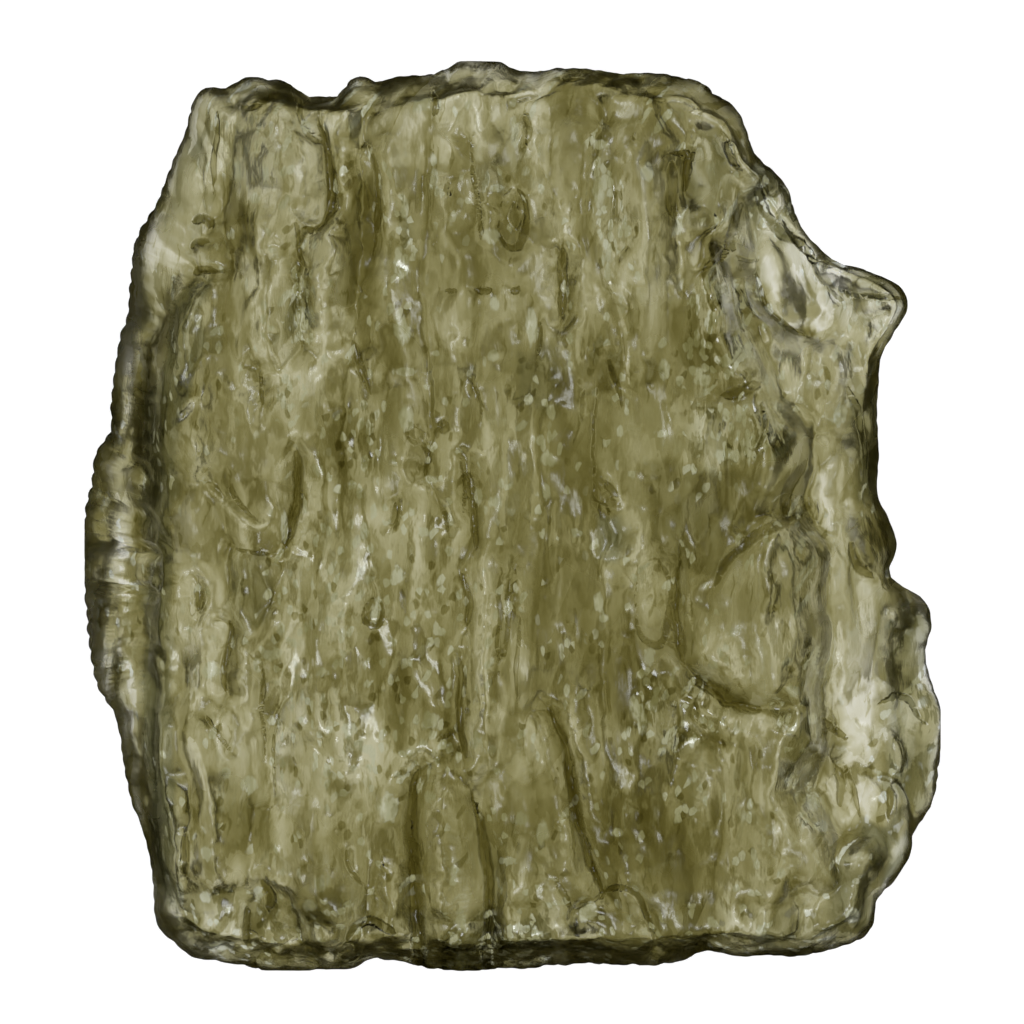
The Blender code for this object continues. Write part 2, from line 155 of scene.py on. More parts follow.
def pointsOf(mesh, count=None):
    places = np.empty(len(mesh.vertices) * 3, np.float32)
    mesh.vertices.foreach_get("co", places)
    return places.reshape(-1, 3)[:count].astype(float)


def normalsOf(mesh):
    directions = np.empty(len(mesh.vertices) * 3, np.float32)
    mesh.vertex_normals.foreach_get("vector", directions)
    return directions.reshape(-1, 3).astype(float)


def setPoints(mesh, places):
    mesh.vertices.foreach_set("co", places.astype(np.float32).ravel())
    mesh.update()


def flattened(stone):
    # The stone with its modifiers turned into plain mesh
    graph = bpy.context.evaluated_depsgraph_get()
    old = stone.data
    stone.data = bpy.data.meshes.new_from_object(stone.evaluated_get(graph), depsgraph=graph)
    stone.modifiers.clear()
    bpy.data.meshes.remove(old)
    stone.data.name = stone.name
    return stone


def mergedCopy(node):
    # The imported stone's mesh is loose triangles: this joins a copy of them
    stone = bpy.data.objects.new("etched_stone", node.data.copy())
    bpy.context.scene.collection.objects.link(stone)
    stone.data.materials.clear()
    weld = stone.modifiers.new("weld", "WELD")
    weld.merge_threshold = formValues["mergeReach"]
    return flattened(stone)


def fitCage(stone):
    # Subdivision rounds a mesh off. This moves its points out until the rounded surface passes
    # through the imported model's own points.
    mesh = stone.data
    target = pointsOf(mesh)
    smoother = stone.modifiers.new("limit", "SUBSURF")
    smoother.levels = smoother.render_levels = 1
    for _ in range(formValues["fitRounds"]):
        graph = bpy.context.evaluated_depsgraph_get()
        reached = pointsOf(stone.evaluated_get(graph).data, len(target))
        setPoints(mesh, pointsOf(mesh) + formValues["fitShare"] * (target - reached))
        bpy.context.view_layer.update()
    stone.modifiers.clear()


# The etched skin: ribs drawn out along Y, shallow pits with soft crests between them, small dimples

skinValues = {
    "Level": 2,
    "Seed": 4.0,
    "Rib Width": 0.60 * mm,
    "Rib Length": 4.5 * mm,
    "Rib Height": 0.09 * mm,
    "Pit Width": 0.80 * mm,
    "Pit Length": 1.70 * mm,
    "Pit Depth": 0.13 * mm,
    "Pit Softness": 0.25,
    "Dimple Size": 0.45 * mm,
    "Dimple Depth": 0.04 * mm,
    "Wall Share": 0.55,  # the relief on steep walls and underneath, as a share of that on top
    "Floor Fade": 0.6 * mm,  # the height above the floor by which the skin has its full relief
}


def skinTree(material):
    tree = bpy.data.node_groups.new("etchedSkin", "GeometryNodeTree")
    tree.interface.new_socket("Geometry", in_out="INPUT", socket_type="NodeSocketGeometry")
    for name, value in skinValues.items():
        kind = "NodeSocketInt" if isinstance(value, int) else "NodeSocketFloat"
        socket = tree.interface.new_socket(name, in_out="INPUT", socket_type=kind)
        socket.default_value = value
    tree.interface.new_socket("Geometry", in_out="OUTPUT", socket_type="NodeSocketGeometry")

    graph = Graph(tree)
    given = graph.add("NodeGroupInput")
    smooth = graph.add(
        "GeometryNodeSubdivisionSurface", {}, {"Mesh": given, "Level": given.out("Level")}
    )
    place = graph.add("GeometryNodeInputPosition")
    normal = graph.add("GeometryNodeInputNormal")
    height = graph.add("ShaderNodeSeparateXYZ", {}, {0: place}, "Z")
    upward = graph.add("ShaderNodeSeparateXYZ", {}, {0: normal}, "Z")
    fade = graph.ramp(height, 0.0, given.out("Floor Fade"))
    fade = fade * graph.ramp(upward, 0.2, 0.7, given.out("Wall Share"))

    def stretched(width, length, shift):
        # The place counted in cells of that width and length, moved on by a seeded shift
        across = 1.0 / given.out(width)
        along = 1.0 / given.out(length)
        factors = graph.add("ShaderNodeCombineXYZ", {}, {"X": across, "Y": along, "Z": across})
        seeded = given.out("Seed") + shift
        shifts = graph.add("ShaderNodeCombineXYZ", {}, {"X": seeded, "Y": seeded, "Z": seeded})
        return graph.add("ShaderNodeVectorMath", {}, {0: graph.scaled(place, factors), 1: shifts})

    ribs = graph.noise(stretched("Rib Width", "Rib Length", 0.0), 1.0, 0.5) - 0.5
    pits = graph.add(
        "ShaderNodeTexVoronoi", {"feature": "SMOOTH_F1"},
        {"Vector": stretched("Pit Width", "Pit Length", 7.0), "Scale": 1.0,
         "Smoothness": given.out("Pit Softness")}, "Distance",
    )
    dimples = graph.cells(stretched("Dimple Size", "Dimple Size", 13.0))

    relief = ribs * 2.0 * given.out("Rib Height")
    relief = relief + (graph.ramp(pits, 0.1, 0.8) - 0.6) * given.out("Pit Depth")
    relief = relief - graph.ramp(dimples, 0.5, 0.1) * given.out("Dimple Depth")
    offset = graph.add(
        "ShaderNodeVectorMath", {"operation": "SCALE"}, {0: normal, "Scale": relief * fade}
    )
    carved = graph.add("GeometryNodeSetPosition", {}, {"Geometry": smooth, "Offset": offset})
    real = graph.add("GeometryNodeRealizeInstances", {}, {"Geometry": carved})
    done = graph.add("GeometryNodeSetMaterial", {}, {"Geometry": real, "Material": material})
    graph.add("NodeGroupOutput", {}, {"Geometry": done})
    return tree


def growSkin(stone, material):
    tree = skinTree(material)
    skin = stone.modifiers.new("skin", "NODES")
    skin.node_group = tree
    for item in tree.interface.items_tree:
        if item.in_out == "INPUT" and item.name in skinValues:
            skin[item.identifier] = skinValues[item.name]
    return flattened(stone)


# Marks that stand out on the etched face, in millimetres on the face seen from above

faceMarks = {
    "softest": 0.22,  # the least half width that the mesh can carry
    "swell": 0.08,  # how far the side walls stand out, to make up for the smoothing
    # Cuts: the path, its half width, its depth, and how dark it is, a painted shade along the groove
    "cuts": [
        # The tongue at the upper left, and the pieces round it
        ([(-4.85, 9.9), (-4.65, 9.2), (-4.55, 8.5), (-4.48, 7.8), (-4.62, 7.3), (-4.95, 7.05), (-5.30, 7.3)],
         0.14, 0.16, 0.9),
        ([(-5.35, 10.4), (-5.28, 9.8), (-5.05, 9.35), (-4.80, 9.3)], 0.10, 0.06, 0.7),
        ([(-5.45, 7.4), (-5.35, 6.7), (-5.10, 6.2)], 0.10, 0.06, 0.7),
        ([(-7.30, 10.1), (-7.40, 9.0), (-7.48, 8.0)], 0.07, 0.04, 0.6),
        ([(-7.98, 7.3), (-7.60, 7.5), (-7.55, 7.1)], 0.12, 0.10, 0.9),
        ([(-8.05, 6.7), (-7.80, 6.85), (-7.50, 6.8)], 0.13, 0.10, 0.9),
        ([(-8.00, 6.0), (-7.70, 6.2), (-7.35, 6.1)], 0.12, 0.10, 0.9),
        ([(-6.95, 10.25), (-6.60, 10.1), (-6.20, 10.2)], 0.08, 0.04, 0.6),
        ([(-6.35, 3.7), (-6.30, 3.2), (-6.18, 2.7)], 0.07, 0.08, 0.8),
        # The upper middle
        ([(-3.55, 9.3), (-3.38, 8.6), (-3.35, 7.4), (-3.42, 6.4)], 0.09, 0.08, 0.5),
        ([(-1.95, 10.55), (-1.93, 10.2), (-2.05, 9.95)], 0.10, 0.10, 0.8),
        ([(0.35, 10.1), (0.42, 9.6), (0.30, 9.2)], 0.10, 0.08, 0.7),
        ([(0.85, 10.9), (1.30, 10.82), (1.90, 10.85)], 0.06, 0.04, 0.9),
        ([(-1.00, 9.4), (-0.98, 8.4), (-0.85, 7.6), (-0.82, 6.7)], 0.07, 0.06, 0.5),
        ([(-1.70, 5.62), (-1.50, 5.58), (-1.35, 5.65)], 0.07, 0.05, 0.7),
        ([(-1.00, 5.66), (-0.75, 5.58), (-0.50, 5.66)], 0.10, 0.06, 0.7),
        ([(-0.08, 5.65), (0.10, 5.58), (0.25, 5.72)], 0.10, 0.06, 0.8),
        ([(1.25, 6.7), (1.28, 5.9), (1.24, 4.9)], 0.15, 0.14, 0.6),
        ([(0.70, 4.9), (0.75, 4.4), (0.60, 4.0)], 0.08, 0.06, 0.7),
        ([(3.05, 9.6), (3.02, 9.3)], 0.06, 0.04, 0.7),
        # The letter-like cut and the ledge at the upper right
        ([(3.85, 9.05), (4.25, 9.10), (4.62, 9.00)], 0.09, 0.10, 0.8),
        ([(4.40, 9.0), (4.35, 8.5), (4.22, 8.05)], 0.13, 0.14, 0.9),
        ([(3.95, 8.9), (3.92, 8.2), (3.98, 7.4)], 0.15, 0.12, 0.6),
        ([(5.75, 7.9), (5.48, 7.5), (5.38, 7.0), (5.28, 6.6), (4.95, 6.35), (4.70, 6.1)], 0.12, 0.14, 0.7),
        ([(5.55, 7.2), (5.52, 6.6), (5.80, 6.38), (6.20, 6.42)], 0.06, 0.05, 0.6),
        ([(6.10, 6.1), (6.15, 5.6), (6.40, 5.15), (6.80, 4.72), (7.10, 4.55), (7.55, 4.5)], 0.12, 0.14, 0.9),
        ([(7.30, 6.8), (7.60, 6.3), (8.00, 5.7), (8.45, 5.25)], 0.07, 0.06, 0.7),
        ([(8.05, 5.8), (8.50, 5.55), (9.10, 5.50), (9.75, 5.40)], 0.08, 0.08, 0.9),
        ([(8.20, 6.3), (8.80, 6.05), (9.20, 5.85)], 0.06, 0.04, 0.7),
        ([(6.10, 8.4), (6.20, 7.9), (6.50, 7.2), (7.30, 6.8)], 0.16, 0.10, 0.9),
        ([(6.60, 8.3), (6.85, 7.9), (7.05, 7.3)], 0.10, 0.06, 0.8),
        # The crescent at the left and the marks below it
        ([(-5.42, 1.75), (-5.36, 1.2), (-5.33, 0.6), (-5.45, 0.0), (-5.75, -0.9)], 0.19, 0.26, 0.85),
        ([(-7.05, 0.95), (-6.88, 0.4), (-6.60, 0.05), (-6.25, -0.15)], 0.06, 0.06, 0.6),
        ([(-7.00, -0.75), (-6.50, -0.92), (-5.95, -0.96)], 0.06, 0.06, 0.8),
        ([(-7.82, -1.65), (-7.74, -2.0), (-7.85, -2.4)], 0.12, 0.12, 0.9),
        ([(-7.05, -2.5), (-7.00, -3.1), (-7.20, -3.6), (-7.20, -4.4)], 0.12, 0.12, 0.7),
        ([(-6.25, -3.7), (-6.27, -4.8), (-6.20, -6.0)], 0.07, 0.08, 0.5),
        ([(-5.90, -5.2), (-5.92, -7.0)], 0.06, 0.06, 0.35),
        ([(-7.75, -4.9), (-7.45, -5.3), (-7.05, -5.9)], 0.06, 0.06, 0.6),
        ([(-8.15, -7.9), (-8.20, -8.5), (-8.10, -9.0)], 0.14, 0.10, 0.8),
        ([(-6.30, -9.0), (-6.00, -9.4), (-6.05, -9.9)], 0.13, 0.12, 0.9),
        ([(-6.75, -9.7), (-6.60, -10.2), (-6.75, -10.7)], 0.13, 0.12, 0.8),
        ([(-4.12, -8.3), (-4.05, -8.8), (-3.80, -9.2)], 0.08, 0.08, 0.6),
        # The middle
        ([(-3.98, 4.4), (-3.72, 3.7), (-3.48, 3.05)], 0.12, 0.10, 0.6),
        ([(-2.32, 1.85), (-2.06, 1.4), (-2.22, 0.95)], 0.10, 0.14, 0.8),
        ([(-2.88, 0.35), (-2.90, 0.0), (-3.15, -0.3)], 0.11, 0.10, 0.6),
        ([(-1.85, 0.3), (-1.66, 0.0), (-1.62, -0.4)], 0.08, 0.10, 0.7),
        ([(-1.28, 1.5), (-1.24, 0.8), (-1.30, 0.1)], 0.06, 0.06, 0.6),
        ([(-1.10, 1.2), (-1.02, 0.5), (-0.98, -0.1), (-0.85, -0.9)], 0.12, 0.14, 0.6),
        ([(-0.95, 3.3), (-0.82, 2.9), (-0.72, 2.4)], 0.07, 0.07, 0.5),
        ([(-1.28, -1.5), (-1.05, -2.1), (-1.10, -2.8)], 0.11, 0.14, 0.7),
        ([(-1.30, -3.5), (-1.18, -4.2), (-1.32, -4.9), (-1.10, -6.1)], 0.12, 0.12, 0.7),
        ([(-1.95, -5.6), (-1.55, -5.5), (-1.30, -5.2)], 0.08, 0.06, 0.6),
        ([(-0.34, -1.1), (-0.30, -2.4), (-0.33, -4.0)], 0.07, 0.06, 0.7),
        ([(-0.12, -1.5), (-0.10, -2.6), (-0.13, -3.6)], 0.06, 0.04, 0.6),
        ([(0.02, -1.2), (0.04, -2.0)], 0.05, 0.04, 0.8),
        ([(0.14, -2.4), (0.12, -3.3), (0.15, -4.8)], 0.06, 0.04, 0.5),
        ([(1.75, 3.2), (1.72, 2.3)], 0.06, 0.04, 0.4),
        ([(2.05, 3.4), (2.02, 1.5), (2.05, 0.3)], 0.06, 0.04, 0.4),
        ([(2.42, 4.1), (2.58, 3.2), (2.78, 2.7)], 0.09, 0.08, 0.8),
        ([(2.30, 0.9), (2.48, 0.65), (2.62, 0.3)], 0.10, 0.08, 0.8),
        ([(2.15, 0.5), (2.16, -0.05)], 0.05, 0.04, 0.7),
        ([(2.35, 0.5), (2.36, -0.05)], 0.05, 0.04, 0.7),
        ([(4.20, -1.1), (4.08, -2.0), (4.15, -3.0), (4.30, -3.7)], 0.15, 0.16, 0.6),
        # Round the lobe and the terrace at the right
        ([(7.20, 0.0), (6.50, -0.3), (5.90, -0.6), (5.40, -1.1), (4.95, -1.8)], 0.14, 0.10, 0.7),
        ([(7.25, 1.45), (6.90, 0.9), (6.70, 0.2), (6.85, -0.5)], 0.12, 0.10, 0.8),
        ([(5.20, 3.0), (5.60, 3.05), (6.15, 3.3)], 0.16, 0.10, 0.7),
        ([(6.15, 2.9), (6.28, 2.2), (6.05, 1.4)], 0.07, 0.05, 0.6),
        # The darkness of this cut is a painted shadow under the lobe, over a shallow carved groove
        ([(4.45, -4.0), (5.10, -4.3), (5.60, -4.7), (6.30, -4.85)], 0.24, 0.20, 0.8),
        ([(7.45, -5.05), (7.90, -5.25), (8.35, -5.6)], 0.11, 0.10, 0.9),
        ([(8.10, -6.2), (8.30, -6.7), (8.20, -7.3)], 0.12, 0.08, 0.7),
        ([(8.25, -6.1), (8.60, -6.9), (8.72, -7.6)], 0.07, 0.06, 0.6),
        ([(8.30, 3.3), (8.55, 2.9), (8.72, 2.0), (8.78, 1.1)], 0.10, 0.06, 0.5),
        ([(8.40, -0.6), (8.50, -1.15), (8.95, -1.55)], 0.15, 0.12, 0.8),
        ([(7.85, 3.8), (7.95, 3.4), (7.88, 3.0)], 0.07, 0.05, 0.7),
        ([(9.10, -4.7), (9.80, -4.4), (10.3, -5.2)], 0.09, 0.06, 0.8),
        # The grooves that run out at the lower edge
        ([(-2.38, -6.3), (-2.55, -7.4), (-2.50, -8.4), (-2.40, -9.3), (-2.35, -10.4), (-2.3, -12.0)],
         0.26, 0.16, 0.9),
        ([(-1.05, -6.9), (-0.82, -7.6), (-0.62, -8.5), (-0.56, -9.5), (-0.60, -10.4), (-0.6, -12.0)],
         0.19, 0.14, 0.8),
        ([(0.95, -4.8), (1.30, -5.7), (1.47, -6.5), (1.58, -7.3), (1.75, -8.2), (2.0, -9.0), (2.35, -9.5)],
         0.18, 0.18, 0.8),
        ([(2.20, -9.6), (2.55, -9.22), (3.00, -9.3), (3.30, -9.9), (3.50, -10.6)], 0.09, 0.06, 0.7),
        ([(1.00, -9.0), (1.30, -9.4), (1.42, -9.9)], 0.07, 0.05, 0.7),
        ([(-4.20, -10.6), (-3.90, -10.15), (-3.45, -10.05), (-2.95, -10.4)], 0.13, 0.08, 0.8),
    ],
    # Thin crests: the path, its half width, its height, and how light it is, a painted highlight along the
    # crest
    "crests": [
        ([(2.62, 5.4), (2.78, 4.6), (2.88, 3.9), (2.90, 3.3)], 0.07, 0.08, 0.8),
        ([(-7.60, 0.65), (-7.20, 0.3), (-6.80, -0.1), (-6.40, -0.35), (-6.05, -0.2)], 0.12, 0.10, 0.4),
        ([(-8.30, 2.6), (-8.00, 2.85), (-7.75, 2.95)], 0.11, 0.10, 0.7),
        ([(-8.00, -5.5), (-7.85, -6.1), (-7.60, -6.9)], 0.17, 0.12, 0.8),
        ([(-5.82, 1.5), (-5.85, 0.8), (-5.85, 0.1)], 0.16, 0.06, 0.35),
        ([(-0.72, -1.0), (-0.75, -2.5), (-0.70, -4.8)], 0.24, 0.08, 0.40),
        ([(0.12, -1.4), (0.24, -2.4)], 0.05, 0.03, 0.5),
        ([(-0.22, -1.3), (-0.22, -2.6)], 0.05, 0.03, 0.5),
        ([(4.45, -1.9), (4.50, -2.9)], 0.05, 0.03, 0.5),
        ([(-9.85, -0.2), (-9.70, -1.2), (-9.70, -2.6)], 0.16, 0.10, 0.7),
        ([(-9.80, -3.1), (-9.60, -3.8), (-9.45, -4.8)], 0.14, 0.10, 0.7),
        ([(-9.15, 2.4), (-9.20, 1.2), (-9.10, 0.2)], 0.08, 0.06, 0.5),
        ([(-6.15, 7.2), (-6.10, 5.6), (-6.15, 4.0)], 0.30, 0.06, 0.15),
    ],
    # Burst bubbles: the middle, the half width and half height of the rim, and how dark it is, a painted shade
    # on the rim
    "bubbles": [
        (0.02, 7.42, 0.40, 0.76, 0.8),
        (-3.48, -2.40, 0.24, 0.36, 0.7),
        (3.50, -2.15, 0.46, 1.10, 0.6),
        (-4.10, -10.80, 0.22, 0.22, 0.8),
        (-2.45, 2.05, 0.20, 0.22, 0.35),
        (-1.72, 2.25, 0.10, 0.12, 0.4),
    ],
    "bubbleLine": 0.085,  # the half width of a bubble's rim
    "bubbleDepth": 0.10,
}


def rounded(path, rounds=2):
    # The path with its corners cut, so that it bends smoothly between the same two ends
    for _ in range(rounds):
        cut = [path[0]]
        for (ax, ay), (bx, by) in zip(path, path[1:]):
            cut.append((0.75 * ax + 0.25 * bx, 0.75 * ay + 0.25 * by))
            cut.append((0.25 * ax + 0.75 * bx, 0.25 * ay + 0.75 * by))
        path = cut + [path[-1]]
    return path


def alongPath(x, y, path):
    # How far each point is from the path, and how far along it, from 0 to 1, its nearest place is
    nearest = np.full(len(x), np.inf)
    along = np.zeros(len(x))
    passed = 0.0
    for (ax, ay), (bx, by) in zip(path, path[1:]):
        length = math.hypot(bx - ax, by - ay)
        runX, runY = (bx - ax) / length, (by - ay) / length
        reach = np.clip((x - ax) * runX + (y - ay) * runY, 0.0, length)
        away = np.hypot(x - ax - reach * runX, y - ay - reach * runY)
        closer = away < nearest
        nearest = np.where(closer, away, nearest)
        along = np.where(closer, passed + reach, along)
        passed += length
    return nearest, along / passed


def strokeCore(x, y, path, halfWidth):
    # 1 on the path's middle line, 0 at its half width and below 0 outside, narrowing to both ends
    away, along = alongPath(x, y, rounded(path))
    narrow = np.clip(2.2 * np.sqrt(along * (1.0 - along)), 0.15, 1.0)
    return 1.0 - away / (halfWidth * narrow), away


def bubbleRing(cx, cy, halfX, halfY):
    turns = np.linspace(0.0, math.tau, 25)
    return list(zip(cx + halfX * np.cos(turns), cy + halfY * np.sin(turns)))


def smooth(t):
    t = np.clip(t, 0.0, 1.0)
    return t * t * (3.0 - 2.0 * t)


def relief(x, y, width, length, seed):
    # Smooth noise between about -1 and 1, its forms width across and length along Y
    places = zip((x / width).tolist(), (y / length).tolist())
    return np.array([2.0 * noise.noise((u, v, seed)) for u, v in places])


def setAttribute(mesh, name, values):
    attribute = mesh.attributes.new(name, "FLOAT", "POINT")
    attribute.data.foreach_set("value", values.astype(np.float32))


def carveMarks(stone):
    # Moves the mesh for each mark, and keeps how near each point is to one, so that the glass can
    # draw the marks, with their painted shade and light, finer than the mesh is
    mesh = stone.data
    places = pointsOf(mesh)
    normals = normalsOf(mesh)
    x, y = places[:, 0] / mm, places[:, 1] / mm
    facing = smooth((normals[:, 2] - 0.1) / 0.4)
    raggedX = x + 0.05 * relief(x, y, 0.5, 0.7, 3.3)
    height = np.zeros(len(x))
    softest = faceMarks["softest"]
    # Painted shade along the cuts and the bubble rims
    cut, cutShade = np.full(len(x), -1.5), np.zeros(len(x))
    for path, halfWidth, depth, dark in faceMarks["cuts"]:
        core, away = strokeCore(raggedX, y, path, halfWidth)
        height -= depth * smooth(1.0 - away / max(1.6 * halfWidth, softest))
        cutShade = np.where(core > cut, dark, cutShade)
        cut = np.maximum(cut, core)
    for cx, cy, halfX, halfY, dark in faceMarks["bubbles"]:
        away, _ = alongPath(raggedX, y, bubbleRing(cx, cy, halfX, halfY))
        across = np.hypot((x - cx) / halfX, (y - cy) / halfY)
        lower = ((x - cx) / halfX - (y - cy) / halfY) / np.maximum(across, 0.3)
        width = faceMarks["bubbleLine"] * (0.75 + 0.35 * lower)
        core = 1.0 - away / width
        height -= faceMarks["bubbleDepth"] * smooth(1.3 - across)
        cutShade = np.where(core > cut, dark, cutShade)
        cut = np.maximum(cut, core)
    # Painted highlight along the crests
    crest, crestHighlight = np.full(len(x), -1.5), np.zeros(len(x))
    for path, halfWidth, rise, light in faceMarks["crests"]:
        core, away = strokeCore(raggedX, y, path, halfWidth)
        height += rise * smooth(1.0 - away / max(1.6 * halfWidth, softest))
        crestHighlight = np.where(core > crest, light, crestHighlight)
        crest = np.maximum(crest, core)
    places[:, 2] += height * facing * mm
    outward = normals[:, :2] * (1.0 - normals[:, 2:] ** 2)
    places[:, :2] += faceMarks["swell"] * mm * outward
    setPoints(mesh, np.clip(places, np.array(boxLow), np.array(boxHigh)))
    below = normals[:, 2] < -0.1
    setAttribute(mesh, "cut", np.where(below, -1.5, cut))
    setAttribute(mesh, "cutShade", cutShade)
    setAttribute(mesh, "crest", np.where(below, -1.5, crest))
    setAttribute(mesh, "crestHighlight", crestHighlight)
